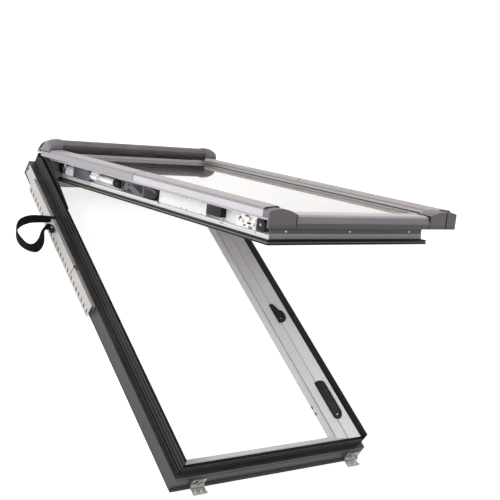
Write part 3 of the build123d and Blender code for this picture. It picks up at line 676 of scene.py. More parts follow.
class WINDOW_OT_frame_trim(bpy.types.Operator):
    """Ribs on the upstand and cladding, the seal on the slope and the slots in the jambs"""

    bl_idname = "window.frame_trim"
    bl_label = "Frame trim"

    sill_ribs = (4.5, 15.0, 26.0)
    other_ribs = (4.5, 17.0, 31.5, 45.0)
    upstand_face, clear, hood_clear = 12.0, 14.0, 42.0

    def execute(self, context):
        """Half-round ribs run along each side at their own heights."""
        ribs = Shape()
        for side in ("left", "right", "sill", "head"):
            upright = side in ("left", "right")
            length = 2 * (LONG if upright else WIDE)
            for height in self.sill_ribs if side == "sill" else self.other_ribs:
                tail = self.hood_clear if height > 25 and upright else self.clear
                ribs.beam(side, half_round(self.upstand_face, height, 1.0),
                          (self.clear, length - tail))
        finish_piece("upstand_ribs", ribs, "frame", ["rib"])
        lines = Shape()
        for height in (-7.0, -12.0, -36.0):
            lines.beam("sill", half_round(0.0, height, 0.7), (6.0, 2 * WIDE - 6.0))
        for side, _ in SIDES:
            for height in (-2.4, -45.0):
                lines.beam(side, half_round(0.0, height, 0.8), (6.0, 2 * LONG - 8.0))
        finish_piece("cladding_ribs", lines, "frame", ["cladding"])
        seal = [(36.0, -1.6), (38.0, 0.8), (41.0, -0.2), (41.6, -3.2), (39.5, -4.6)]
        # The slope's seal takes the same painted-shade white
        finish_piece("frame_seal", Shape().ring(rounded(seal, 1.2)), "frame", ["jamb"])
        marks = Shape()
        for place in (152.0, 176.0):
            marks.block(soft_bar(place, place + 11.0, -45.0, -40.0, 2.0), 63.5, 62.0, 0.3)
        finish_piece("jamb_slots", marks, "frame", ["dark"])
        return {"FINISHED"}


class WINDOW_OT_seals(bpy.types.Operator):
    """The double gasket round the sash and the seals on the glass"""

    bl_idname = "window.seals"
    bl_label = "Seals"

    def execute(self, context):
        """Closed sections carried round the sash, mitred at its corners."""
        gasket = Shape()
        outline = [(72, -9), (64, -9.2), (60.4, -10.2), (59.4, -12.6), (61.5, -14.4),
                   (65.5, -14.9), (65.5, -16.1), (61.0, -16.6), (59.3, -18.4), (59.9, -20.9),
                   (63, -21.6), (72, -21.6)]
        bands = [0] * 5 + [1] + [0] * 6
        gasket.ring(rounded(outline, 0.9, 3), bands_of(bands, 3))
        gasket.ring(rounded([(60.8, -14.4), (65, -14.2), (65, -16.9), (60.8, -16.7)], 0.5, 3), 1)
        finish_piece("double_gasket", gasket, "sash", ["rubber", "lip"], ["sash_gasket"])
        line = Shape()
        pane = (62.0, 1104.0)
        for side, _ in SIDES:
            line.beam(side, soft_bar(66.0, 69.6, 57.3, 58.5, 0.4), pane)
            line.beam(side, soft_bar(61.8, 63.6, 60.8, 67.0, 0.4), pane, 1)
        line.beam("sill", soft_bar(63.0, 65.4, 57.3, 58.5, 0.4), (64.0, 2 * WIDE - 64.0))
        # The upright seal bars take the low cover's painted-shade front colour
        finish_piece("glass_seal", line, "sash", ["rubber", "low_brow"])
        return {"FINISHED"}


COVER_INSET = 13.5
SHEET = 1.5


class WINDOW_OT_covers(bpy.types.Operator):
    """Painted covers of the sash sides and of its low rail"""

    bl_idname = "window.covers"
    bl_label = "Covers"

    side_line = ((COVER_INSET, 50.0), (COVER_INSET, 68.0), (18.0, 73.5), (54.0, 77.0),
                 (60.5, 74.0), (62.0, 66.0))
    low_line = ((8.0, 27.0), (8.0, 42.0), (14.0, 56.0), (23.0, 59.1), (63.0, 59.1))
    foot, split, top, end = 30.2, 600.0, 1093.5, 1151.5

    def execute(self, context):
        """Folded sheets: an outer line, the same line moved in by the sheet, and round folds."""
        outline = rounded(folded(self.side_line, SHEET), 1.6)
        # Slot 0 is the lit outer face; the slanted face, the top and the inner fold take painted
        # shade
        bands = bands_of([0, 1, 2] + [3] * 9)
        inner = COVER_INSET + SHEET
        skirt = rounded([(COVER_INSET, 50.0), (COVER_INSET, 65.6), (inner, 65.6), (inner, 50.0)],
                        0.4)
        finishes = ["cover_bevel", "cover_top", "cover_fold"]
        joint = Shape()
        for side, _ in SIDES:
            low = Shape().beam(side, outline, (self.foot, self.split - 0.7), bands)
            high = Shape().beam(side, outline, (self.split + 0.2, self.top), bands)
            high.beam(side, skirt, (self.top, self.end))
            joint.beam(side, shrink(outline, -0.25), (self.split - 0.9, self.split + 0.9))
            # The high covers take the painted-shade copy of the side paint
            for part, sheet, paint in (("low", low, "cover_side"), ("high", high, "cover_high")):
                finish_piece(f"side_cover_{part}_{side}_sheet", sheet, "sash", [paint, *finishes],
                             [f"side_cover_{part}_{side}"])
        finish_piece("cover_joints", joint, "sash", ["dark"])
        # The low cover's front and shoulder take painted shade, its fold edge a painted highlight
        low_cover = Shape().beam("sill", rounded(folded(self.low_line, SHEET), 2.6, 5),
                                 (98.2, 537.8), bands_of([0, 1, 2] + [3] * 7, 5))
        finish_piece("low_cover_sheet", low_cover, "sash",
                     ["low_brow", "low_shoulder", "low_edge", "low_top"], ["low_cover"])
        return {"FINISHED"}


class WINDOW_OT_low_caps(bpy.types.Operator):
    """Moulded end caps of the low cover, domed across the window"""

    bl_idname = "window.low_caps"
    bl_label = "Low caps"

    caps = (
        ("left", -1, 84.0, (("low_cap_left", 0.0, 84.0),)),
        ("right", 1, 98.0, (("low_cap_right", 39.0, 98.0), ("low_cap_side_right", 0.0, 35.0))),
    )
    foot, over_frame = 27.0, 50.4
    front, rear = 8.0, 53.6

    def crown(self, inset, total):
        """Height of the dome: a parabola through its outer edge, its crown and its inner edge."""
        return np.polyval(np.polyfit([0.0, total / 3, total], [66.5, 72.5, 60.5], 2), inset)

    def outline(self, total, start, end, foot):
        """Dome over a foot, with its corners rounded."""
        inset = np.linspace(start, end, 14)
        top = np.stack([inset, self.crown(inset, total)], axis=1)
        return rounded(np.vstack([[(start, foot)], top, [(end, foot)]]), 3.2, 3)

    def gap(self, joint, hand, inset, size, front, back, top):
        """Add a dark strip up the front wall and back over the dome, between two pieces: painted
        shade in the seam.
        """
        wall, over_rail, slant = 1.4, 50.5, 3
        corners = [(front, self.foot), (front, top - slant), (front + slant, top), (back, top),
                   (back, over_rail), (front + wall, over_rail), (front + wall, self.foot)]
        joint.loft([standing(rounded(corners, 1.0, 3), hand * (WIDE - COVER_INSET - place))
                    for place in (inset + size / 2, inset - size / 2)])

    def execute(self, context):
        """Each cap is a front wall with a round edge and a hood behind it."""
        for side, hand, total, parts in self.caps:
            joint = Shape()
            proud, sunk = self.crown(total, total) + 0.6, 1.4
            self.gap(joint, hand, total, 1.6, self.front, self.rear, proud)
            if len(parts) > 1:
                split = 37.0
                # The wide dark strip in the right cap's groove is painted shade
                self.gap(joint, hand, split, 4.6, 9.4, 53.0, self.crown(split, total) - sunk)
            finish_piece(f"low_cap_joint_{side}", joint, "sash", ["dark"])
            for name, start, end in parts:
                cap = Shape()
                for foot, near, far, ends, tuck in (
                    (self.foot, self.front, 10.8, (True, False), 0.0),
                    (self.over_frame, 10.6, 30.0, (False, False), 0.0),
                    (self.over_frame, 29.0, self.rear, (False, True), 1.8),
                ):
                    section = self.outline(total, max(start, tuck), end, foot)
                    rows = soft_steps(section, near, far, 3.0 if ends[0] else 1.0, ends, 5)
                    cap.loft([on_side(side, line + (COVER_INSET, 0), along)
                              for line, along in rows])
                finish_piece(f"{name}_moulding", cap, "sash", ["cap"], [name], sharp=50)
        # The skirts under the caps take the low cover's painted-shade front colour
        skirt = Shape()
        for span in ((16.5, 97.0), (539.0, 597.0), (602.0, 633.5)):
            skirt.beam("sill", soft_bar(7.4, 8.4, 27.4, 34.0, 0.3), span)
        finish_piece("cap_skirts", skirt, "sash", ["low_brow"])
        return {"FINISHED"}


class WINDOW_OT_hood(bpy.types.Operator):
    """The hood over the pivot and its end caps"""

    bl_idname = "window.hood"
    bl_label = "Hood"

    crown = (1125.0, 104.5)
    sheet_end, cap_start, cap_end = 267.0, 267.8, 311.5

    def curves(self, grow):
        """Front and back arcs of the hood's section, moved outwards by an amount."""
        top = (self.crown[0], self.crown[1] + grow)
        slant = grow * math.cos(math.radians(45))
        front = arc((1106 - grow, 66.3), (1098 - grow, 86), top, 16)
        back = arc(top, (1163 + slant, 88 + slant), (1181 + grow, 59), 20)
        return front, back

    def seam(self, shift, foot):
        """Curved joint between the two end caps, from its foot up to the crown."""
        line = arc((1153 + shift, 34), (1156 + shift, 83), (self.crown[0] + shift, 110.5), 24)
        return line[(line[:, 1] > foot) & (line[:, 1] < 106.0)]

    def execute(self, context):
        """One sheet across the window, and two soft-edged caps at each end."""
        front, back = self.curves(0.0)
        outline = folded(np.vstack([front, back[1:]]), 1.6)
        # The lower front of the hood and the bead along it take painted shade
        dark = (outline[:, 0] < 1112) & (outline[:, 1] < 88)
        sheet, ends = Shape(), (-self.sheet_end, self.sheet_end)
        sheet.loft([standing(outline, x) for x in ends], dark.astype(int))
        sheet.loft([standing(half_round(1099.2, 88.0, 0.8), x) for x in ends], 1)
        finish_piece("hood_sheet", sheet, "sash", ["hood", "hood_front"], ["hood"], sharp=60)
        front, back = self.curves(2.5)
        seam = self.seam(-2.0, 68.0)
        nose = front[(front[:, 1] > 68.0) & (front[:, 0] < seam[-1, 0])]
        rear_seam = self.seam(0.0, 61.0)
        tail = back[back[:, 0] > rear_seam[-1, 0] + 0.5]
        sections = {"cap": np.vstack([nose, seam[::-1]]), "rear_cap": np.vstack([rear_seam, tail])}
        # The dark strip in the groove between the caps is painted shade
        groove = np.vstack([self.seam(-2.2, 66.0), self.seam(0.2, 66.0)[::-1]])
        for side, hand in SIDES:
            for part, section in sections.items():
                rows = soft_steps(section, self.cap_end, 300.0, 3.0, (True, False), 6)
                rows += [(section, x) for x in np.linspace(296.0, self.cap_start, 8)]
                cap = Shape().loft([standing(self.droop(line, x), hand * x) for line, x in rows])
                name = f"hood_{part}_{side}"
                finish_piece(f"{name}_moulding", cap, "sash", ["hood_cap"], [name], sharp=50)
            gap = Shape().loft([standing(self.droop(groove, x), hand * x)
                                for x in np.linspace(309.8, 268.0, 12)])
            finish_piece(f"hood_seam_{side}", gap, "sash", ["dark"])
        return {"FINISHED"}

    def droop(self, outline, x):
        """Lower the crown towards the outer end by the cube of the way along the cap."""
        drop, foot, rise = 11.0, 60, 45
        way = np.clip((x - self.cap_start) / (self.cap_end - self.cap_start), 0, 1) ** 3
        distance, height = outline.T
        share = np.clip((height - foot) / rise, 0, 1)
        return np.stack([distance, height - drop * way * share], axis=1)


class WINDOW_OT_rail_faces(bpy.types.Operator):
    """Metal faces, screws and channel lips of the sash rails, with painted shade under the covers
    """

    bl_idname = "window.rail_faces"
    bl_label = "Rail faces"

    def execute(self, context):
        """Straight strips laid on the outer faces of the rails."""
        face = Shape()
        wall = [(71.6, 36.8), (26.0, 43.3), (26.0, 57.0), (26.5, 57.0), (26.5, 43.9), (72.0, 37.6)]
        # Slot 2 is painted shade under the cover's wing: the dark strip, its bead and the slanted
        # wall
        strips = (
            (soft_bar(69.6, 70.6, -8.9, 4.4, 0.6), 0), (half_round(69.8, -3.0, 0.7), 0),
            (soft_bar(71.2, 72.1, 5.2, 15.4, 0.4), 1),
            (soft_bar(71.5, 72.1, 15.9, 37.5, 0.3), 2), (half_round(71.2, 16.2, 0.8), 2),
            (wall, 2),
        )
        for side in ("sill", "head"):
            for outline, slot in strips:
                face.beam(side, outline, (70.6, 2 * WIDE - 70.6), slot)
        finish_piece("rail_faces", face, "sash", ["silver", "screw_strip", "dark"])
        lips = Shape()
        wall = [(71.7, 37.7), (26.0, 43.4), (26.0, 60.0), (26.5, 60.0), (26.5, 43.9), (72.0, 38.3)]
        rail = 72.0
        whole = (rail, 2 * LONG - rail)
        for side, _ in SIDES:
            lips.beam(side, soft_bar(70.6, 72.2, 0.6, 2.0, 0.4), whole, 0)
            lips.beam(side, soft_bar(70.6, 72.2, 36.0, 37.6, 0.4), whole, 0)
            lips.beam(side, half_round(rail, -4.2, 0.6), whole, 1)
            lips.beam(side, wall, (30.0, 1150.0), 2)
            # A dark bead under the cover's edge: painted shade
            lips.beam(side, half_round(71.0, 37.6, 0.9), whole, 3)
        finish_piece("channel_lips", lips, "sash", ["bead", "soft_line", "cover_side", "dark"])
        screws = Shape()
        for place in (121.0, 325.0, 532.0):
            screws.turned(PAN_HEAD, (place - WIDE, 71.2 - LONG, WALL + 10.2), (0, -1, 0))
        for place, height in ((960.0, 48.0), (1030.0, 52.0), (1090.0, 52.0)):
            screws.knob(PAN_HEAD, 26.2, place, height)
        finish_piece("rail_screws", screws, "sash", ["steel"])
        return {"FINISHED"}


class WINDOW_OT_hardware(bpy.types.Operator):
    """The chain of hardware in the side channels"""

    bl_idname = "window.hardware"
    bl_label = "Hardware"

    # Inset of the channel's floor, where the hardware's blocks stand
    floor = 86.0

    def execute(self, context):
        """One method for each part of the chain, from the head down to the sill."""
        self.racks()
        self.drive_blocks()
        self.dampers()
        self.gearboxes()
        self.guide_plates()
        self.stops()
        return {"FINISHED"}

    def racks(self):
        """Toothed rack: four teeth along the top, prongs at its end, and lines on the flange."""
        rack = Shape()
        start, pitch, top = 1042.0, 12.0, 29.0
        teeth = []
        for index in range(4):
            place = start + index * pitch
            teeth += [(place, top - 7), (place + 2.4, top), (place + 6, top), (place + 9, top - 7)]
        prongs = [(1104, top - 3), (1092, 20), (1112, 17), (1092, 13.5), (1110, 10), (1092, 7),
                  (1104, 2)]
        rack.block(rounded([*teeth, *prongs, (start, 2)], 0.8, 3), 71.0, 77.0, 0.6)
        for index in range(26):
            place = 930.0 + index * 6.4
            line = [(place, -7.6), (place + 1.3, -7.6), (place + 5.3, 0.4), (place + 4.0, 0.4)]
            rack.block(line, 71.3, 72.4, 0.3, 1)
        finish_piece("rack_teeth", rack, "sash", ["nylon", "lip"], ["pivot_racks"])

    def drive_blocks(self):
        """Slate block with its raised panel and five ridges, and a black piece at its low end."""
        block = Shape()
        block.block(soft_bar(936.2, 1041.2, 2.2, 35.8, 2.0), 69.6, self.floor, 1.2)
        block.block(soft_bar(948, 1030, 20.0, 34.0, 1.5), 68.9, 70.4, 0.5)
        block.block(soft_bar(934.0, 943.0, 27.0, 37.0, 1.0), 68.2, 74.0, 0.8, 1)
        for place in range(956, 1013, 14):
            block.block(soft_bar(place, place + 3, 5.0, 17.0, 0.8), 69.0, 70.4, 0.4)
        finish_piece("drive_block_housings", block, "sash", ["slate", "dark"], ["drive_blocks"])

    def dampers(self):
        """Bright cylinder with turned grooves and a round end, in a ribbed black collar."""
        body = [(782, 0), (782, 9.6), (783, 10.3), (802, 10.3), (803, 9.8), (806, 9.8),
                (807, 10.3), (884, 10.4), (885, 9.9), (888, 9.9), (889, 10.5), (919, 10.5),
                (926, 9.7), (931, 7.8), (934.6, 4.4), (935.4, 0)]
        collar = [(755, 0), (755, 10.8)]
        for index in range(6):
            place = 756.0 + index * 5.2
            collar += [(place, 12.0), (place + 3.2, 12.0), (place + 3.8, 11.0), (place + 4.8, 11.0)]
        collar += [(788, 11.6), (788.2, 0)]
        rod = [(884, 0), (884.4, 4.6), (886, 5.6), (924, 5.6), (930, 4.4), (932.6, 2.4), (933.2, 0)]
        shape = Shape()
        for hand in HANDS:
            for profile, inset, height, slot, count in (
                (body, 74.0, 19.0, 0, 40), (collar, 74.0, 19.0, 1, 32), (rod, 73.0, 29.0, 0, 24),
            ):
                shape.turned(profile, spot(hand, inset, 0.0, height), (0, 1, 0), slot, count)
        # A dark strip behind the cylinder's upper part: painted shade in the channel
        shape.block(bar(800, 882, 30.6, 35.8), 78.0, self.floor, 0.4, 1)
        finish_piece("damper_cylinders", shape, "sash", ["chrome", "dark"], ["dampers"], sharp=50)

    def gearboxes(self):
        """Grey housing with dark openings and two bosses, and the black link with its arch."""
        shape = Shape()
        shape.block(soft_bar(630.8, 754.4, 2.4, 35.6, 2.5), 71.4, self.floor, 1.0)
        for opening in (
            [(742, 8), (752, 8), (748, 30), (734, 32)], [(722, 4.5), (741, 4.5), (733, 10)],
            [(640, 8), (700, 30), (640, 32)], [(688, 5), (722, 5), (712, 16)],
        ):
            shape.block(rounded(opening, 2.0), 70.6, 71.9, 0.5, 1)
        for distance, height, radius in ((712, 25, 4.0), (742, 14, 3.0)):
            boss = [(0, 0), (0, radius), (1.4, radius), (1.8, radius - 0.6), (1.8, radius * 0.5),
                    (0.9, radius * 0.45), (0.9, 0)]
            shape.knob(boss, 71.2, distance, height)
        link = [(556, 33.5), (630, 33.5), (630, 6), (612, 2.4), (584, 2.4), (562, 12)]
        shape.block(rounded(link, 7.0, 6), 69.4, self.floor, 2.0, 1)
        arch = [(566, 27), (590, 31.5), (618, 31.5), (624, 26), (612, 28), (590, 27.5), (572, 22)]
        shape.block(rounded(arch, 2.0), 68.9, 70.0, 0.4, 0)
        finish_piece("gearbox_housings", shape, "sash", ["gear_grey", "dark"], ["gearboxes"])

    def guide_plates(self):
        """Two white plates end to end, with dark rivets and a dark strip at their end."""
        shape = Shape()
        for start, end in ((328.4, 438.2), (438.8, 548.8)):
            shape.block(soft_bar(start, end, 2.4, 35.6, 1.2), 70.0, self.floor, 0.7)
        rivet = [(0, 0), (0, 1.7), (0.5, 1.5), (0.5, 0)]
        for distance, height in ((440, 33.0), (420, 33.2), (344, 32.8), (346, 5.0), (442, 5.0),
                                 (415, 4.8), (540, 19)):
            shape.knob(rivet, 70.1, distance, height, 1, 14)
        shape.block(soft_bar(549.0, 555.0, -2.0, 34.0, 1.0), 70.8, 74.0, 0.6, 1)
        finish_piece("guide_plate_sheets", shape, "sash", ["plate", "dark"], ["guide_plates"])

    def stops(self):
        """Black stop block, the two parts of the end block at the head, the round block and its
        screw at the sill, and grey posts."""
        shape = Shape()
        inner = [(1094, 2), (1132, 2), (1139, 16), (1139, 36), (1094, 36)]
        outer = [(1114, 3), (1131, 3), (1139, 17), (1139, 36), (1106, 36), (1108, 26)]
        low = [(87, 5), (119, 5), (119, 33), (110, 36), (96, 35.4), (89, 28)]
        for outline, corner, near, far, edge in (
            (bar(264.4, 327.2, 8.6, 35.6), 2.0, 69.0, self.floor, 1.2),
            (inner, 3.0, 77.4, self.floor, 1.2), (outer, 3.0, 69.4, 77.6, 1.2),
            (low, 4.0, 69.0, self.floor, 1.6),
        ):
            shape.block(rounded(outline, corner), near, far, edge)
        for place in (256.0, 262.5):
            shape.block(soft_bar(place, place + 2.6, -5.0, 9.0, 0.8), 70.4, 72.6, 0.5, 1)
        shape.block(soft_bar(120.6, 127.0, -3.0, 30.0, 1.0), 70.0, 72.4, 0.6, 1)
        shape.knob(PAN_HEAD, 69.0, 103, 20, 1)
        finish_piece("stop_housings", shape, "sash", ["dark", "soft_line"], ["stop_blocks"])


class WINDOW_OT_locks(bpy.types.Operator):
    """Notched lock plates with their rollers"""

    bl_idname = "window.locks"
    bl_label = "Locks"

    def execute(self, context):
        """A notched outline with soft corners, its rollers and the dark slots in its face."""
        start, step, low, high, tooth = 120.4, 16.0, 2.3, 35.7, 7.0
        outline = [(start + step * along, height) for along, height in (
            (0, low), (1, low), (1, low + tooth), (2, low + tooth), (2, low), (5, low),
            (5, high - tooth), (4, high - tooth), (4, high), (3, high), (3, high - tooth),
            (2, high - tooth), (2, high), (0, high))]
        for side, hand in SIDES:
            lock = Shape().block(rounded(outline, 1.6), 71.0, 85.6, 0.8, hands=(hand,))
            for distance, height, radius in ((150, 26, 4.6), (176, 17, 4.0), (192.3, 19, 4.0),
                                             (132, 14, 3.4)):
                roller = [(0, 0), (0, radius), (3.4, radius), (3.6, radius + 0.8),
                          (5.0, radius + 0.8), (5.4, radius), (5.4, radius * 0.4), (4.6, 0)]
                lock.knob(roller, 71.0, distance, height, hands=(hand,))
            for slot in ((140, 158, 12.5, 17.5), (162, 172, 6, 10), (181, 190, 22, 26)):
                lock.block(soft_bar(*slot, 1.6), 70.6, 72.0, 0.3, 1, (hand,))
            finish_piece(f"lock_plate_{side}", lock, f"lock_{side}", ["lock", "dark"],
                         [f"lock_{side}"])
        return {"FINISHED"}


class WINDOW_OT_strikes(bpy.types.Operator):
    """Moulded black strikes on the slopes of the jambs"""

    bl_idname = "window.strikes"
    bl_label = "Strikes"

    long_outline = ((240, -7), (239, 6), (230, 21), (120, 21), (106, 15), (102, 5), (110, -7))
    short_outline = ((551, -7), (548, 5), (514, 13), (505, 21), (480, 21), (471, 12), (475, -7))
    slope_foot, slope_top = np.array([37.0, 0.5]), np.array([20.0, 27.5])

    def on_slope(self, hand, distance, across, high):
        """Points on the sloping face: up the slope from its foot, and out of its surface."""
        slope = self.slope_top - self.slope_foot
        up = slope / np.linalg.norm(slope)
        out = np.array([up[1], -up[0]])
        clear = 0.05
        flat = self.slope_foot + np.asarray(across, float)[:, None] * up + (high + clear) * out
        x, y, z = spot(hand, flat[:, 0], distance, flat[:, 1])
        return np.stack([x, np.broadcast_to(y, x.shape), z], axis=1)

    def raised(self, hand, outline, low, high, radius):
        """An outline in the slope's plane (distance, across), raised with a round upper edge."""
        return [self.on_slope(hand, *line.T, level) for line, level in
                soft_steps(outline, low, high, radius, (False, True), 6)]

    def execute(self, context):
        """One long and one short strike on each jamb, each with a rib, a boss and a screw."""
        for side, hand in SIDES:
            for name, corners, thick in (("low", self.long_outline, 8.0),
                                         ("high", self.short_outline, 7.0)):
                start, end = corners[-2][0], corners[0][0]
                base = thick - 0.5
                strike = Shape().loft(self.raised(hand, rounded(corners, 5.0, 6), -1.0, thick, 2.6))
                rib = soft_bar(start + 22.0, end - 12.0, -5.2, -2.4, 1.2)
                strike.loft(self.raised(hand, rib, base, thick + 1.6, 0.8))
                pad = soft_bar(end - 46.0, end - 26.0, 0.6, 7.0, 2.0) if name == "low" else rib
                strike.loft(self.raised(hand, pad, base, thick + 0.8, 0.4))
                boss = [(base, 5.6), (thick + 1.4, 5.4), (thick + 1.8, 4.6), (thick + 0.6, 4.0),
                        (thick + 0.6, 0)]
                screw = [(thick + 0.5, 1.6), (thick + 1.5, 1.4), (thick + 1.6, 0)]
                foot = self.on_slope(hand, start + 12.0, [7.0], 0.0)[0]
                axis = self.on_slope(hand, start + 12.0, [7.0], 1.0)[0] - foot
                strike.turned(boss, foot, axis)
                strike.turned(screw, foot, axis, 1, 16)
                finish_piece(f"strike_{name}_{side}_moulding", strike, "frame", ["strike", "steel"],
                             [f"strike_{name}_{side}"], sharp=60)
        return {"FINISHED"}


def facing(outline, y, level=0.0):
    """An outline (x, height) that faces along the slope, at a place on it."""
    return np.column_stack([outline[:, 0], np.full(len(outline), y), level + outline[:, 1]])


class WINDOW_OT_fixings(bpy.types.Operator):
    """Rims and ridges on the fixing strips, and bolts and crossed bars on the sill clips"""

    bl_idname = "window.fixings"
    bl_label = "Fixings"

    strip_foot, strip_joint, strip_end = 580.0, (722.0, 732.0), 1098.0
    rims, clips = (720.0, 732.0), (-242.0, 293.0)

    def execute(self, context):
        """The strips first, then the clips."""
        self.strips()
        self.sill_clips()
        return {"FINISHED"}

    def strips(self):
        """A dark backing and ridges in painted-highlight zinc along each strip, and hole rims at
        its joint.
        """
        ridge = Shape()
        for side, _ in SIDES:
            ridge.beam(side, bar(-11.2, -10.8, -44.0, -5.0), (self.strip_foot, self.strip_end), 1)
            for span in ((self.strip_foot, self.strip_joint[0]),
                         (self.strip_joint[1], self.strip_end)):
                ridge.beam(side, half_round(-0.2, -3.4, 1.3), span)
                ridge.beam(side, soft_bar(-12.3, -10.6, -2.1, -1.1, 0.4), span)
        rim = [(0, 0), (0, 2.6), (0.5, 2.6), (0.9, 2.2), (0.9, 1.3), (0.2, 1.2), (0.2, 0)]
        for hand in HANDS:
            for place in self.rims:
                for inset in (-3.6, -8.6):
                    ridge.turned(rim, spot(hand, inset, place, -2.0), (0, 0, 1), 1, 18)
        finish_piece("strip_ridges", ridge, "frame", ["zinc_bright", "dark"])

    def sill_clips(self):
        """Hexagon bolts, round heads, a dark window and two crossed bars on each clip."""
        bolts = Shape()
        head = [(0, 0), (0, 3.0), (0.8, 2.6), (1.1, 0)]
        section = ((-2.2, 0.4), (2.2, 0.4), (2.2, 2.2), (-2.2, 2.2))
        face = -LONG - 2.6
        for middle in self.clips:
            for shift in (-9.4, 9.4):
                bolts.turned(HEX_HEAD, (middle + shift, -LONG - 18.0, 4.0), (0, 0, 1), 0, 6)
                bolts.turned(head, (middle + shift * 1.8, -LONG - 2.5, 26.5), (0, -1, 0), 0, 18)
            window = soft_bar(middle - 10.0, middle + 10.0, 8.0, 25.0, 1.5)
            bolts.loft([facing(window, y) for y in (face, face - 0.5)], 1)
            # The crossed bars take the painted-highlight zinc
            for lean in (-1, 1):
                ends = ((middle - 5.0 * lean, 27.0), (middle + 13.0 * lean, 5.0))
                bolts.loft([[(x + across, face - depth, z) for across, depth in section]
                            for x, z in ends], 2)
        finish_piece("clip_bolts", bolts, "frame", ["steel", "dark", "zinc_bright"])


class WINDOW_OT_strap(bpy.types.Operator):
    """The webbing strap's loop and the clamp that holds its end"""

    bl_idname = "window.strap"
    bl_label = "Strap"

    route = (
        (-327.0, 336.0), (-372.0, 338.0), (-407.5, 336.0), (-442.0, 320.0), (-463.0, 292.0),
        (-467.0, 256.0), (-452.0, 226.0), (-428.0, 220.0), (-402.0, 244.0), (-382.0, 280.0),
        (-366.0, 303.0), (-351.9, 306.0),
    )
    width, thickness, low = 25.0, 2.2, 30.2
    # How far the webbing tilts and leans over, and how far round the loop its low lean lies
    tilt, lean, low_lean, low_place, low_reach = 0.10, 0.5, 0.85, 0.76, 0.16

    def centre(self):
        """Smooth line through the route: a centripetal chain of cubic pieces, evenly sampled."""
        points = np.array(self.route)
        points = np.vstack([2 * points[0] - points[1], points, 2 * points[-1] - points[-2]])
        t = np.linspace(0, 1, 10, endpoint=False)[:, None]
        parts = []
        for index in range(1, len(points) - 2):
            a, b, c, d = points[index - 1:index + 3]
            parts.append(0.5 * (2 * b + (c - a) * t + (2 * a - 5 * b + 4 * c - d) * t ** 2
                                + (3 * b - a - 3 * c + d) * t ** 3))
        return np.vstack([*parts, points[-2:-1]])

    def execute(self, context):
        """A flat section with round edges carried along the line, standing on its edge."""
        line = self.centre()
        along = np.gradient(line, axis=0)
        along /= np.linalg.norm(along, axis=1, keepdims=True)
        side = np.stack([along[:, 1], -along[:, 0]], axis=1)
        turn = np.linspace(0, math.tau, 32, endpoint=False)
        across = squared(np.cos(turn), 0.4) * self.thickness / 2
        rise = squared(np.sin(turn), 0.8) * self.width / 2
        steps = np.linalg.norm(np.diff(line, axis=0), axis=1)
        span = np.concatenate([[0], np.cumsum(steps)])
        way = span / span[-1]
        sway = np.sin(way * math.pi)[:, None]
        near_low = np.exp(-((way - self.low_place) / self.low_reach) ** 4)[:, None]
        flat = line[:, None] + side[:, None] * (across + rise * self.tilt * sway)[..., None]
        flat[..., 1] += self.lean * rise * sway
        flat[..., 0] -= self.low_lean * rise * near_low
        height = self.low + self.width / 2 + np.broadcast_to(rise, flat.shape[:2])
        shape = Shape().loft(np.concatenate([flat, height[..., None]], axis=2))
        uv = np.stack([np.repeat(span * MM, len(turn)),
                       np.tile(rise / self.width + 0.5, len(span))], axis=1)
        finish_piece("strap_webbing", shape, "frame", ["webbing"], ["strap"], sharp=70, uv=uv)
        clamp = Shape()
        outline = soft_bar(-351.5, -337.8, 293.8, 318.2, 2.4)
        clamp.loft([np.column_stack([part, np.full(len(part), z)])
                    for part, z in soft_steps(outline, 27.8, 39.8, 1.0)])
        clamp.turned(PAN_HEAD, (-344.6, 306.0, 39.6), (0, 0, 1), 1, 18)
        finish_piece("strap_clamp_block", clamp, "frame", ["dark", "steel"], ["strap_clamp"])
        return {"FINISHED"}


class WINDOW_OT_handle(bpy.types.Operator):
    """Lever handle on the low rail and its rosette"""

    bl_idname = "window.handle"
    bl_label = "Handle"

    def execute(self, context):
        """A lever whose section swells and thins along its length, on a soft round neck."""
        face, level = 110.0 - LONG, 51.0
        rosette = Shape()
        outline = rounded(bar(-35, 35, -14, 14), 7.0, 6)
        rosette.loft([facing(part, y, level) for part, y in
                      soft_steps(outline, face + 6.0, face + 0.2, 1.6, (True, False))])
        for x in (-25.0, 25.0):
            rosette.turned(PAN_HEAD, (x, face + 5.8, level), (0, 1, 0), 1, 18)
        finish_piece("handle_plate", rosette, "sash", ["handle", "steel"], ["handle_rosette"])
        neck = [(0.3, 0), (0.3, 7.9), (6.2, 7.9), (8, 7.2), (13, 7.0), (17, 8.2), (21, 8.4),
                (24.6, 6.0), (25, 0)]
        lever = Shape().turned(neck, (0.0, face, level), (0, 1, 0), 0, 32)
        start, length, reach, thick = -8.8, 117.6, 20.6, 4.2
        turn = np.linspace(0, math.tau, 28, endpoint=False)
        round_side, flat_side = squared(np.sin(turn), 0.7), squared(np.cos(turn), 0.7)
        rows = []
        for t in np.linspace(0, 1, 28):
            end = max(max(1 - abs(2 * t - 1) ** 9, 0.0) ** 0.5, 0.03)
            wide = (8.8 - 1.6 * math.sin(math.pi * min(t * 1.15, 1.0))) * end
            y = face + reach + 0.8 * math.sin(math.pi * t) + round_side * thick * end
            rows.append(np.column_stack(
                [np.full(len(turn), start + t * length), y, level + flat_side * wide]))
        lever.loft(rows)
        finish_piece("handle_lever", lever, "handle", ["handle"], ["handle"], sharp=50)
        return {"FINISHED"}


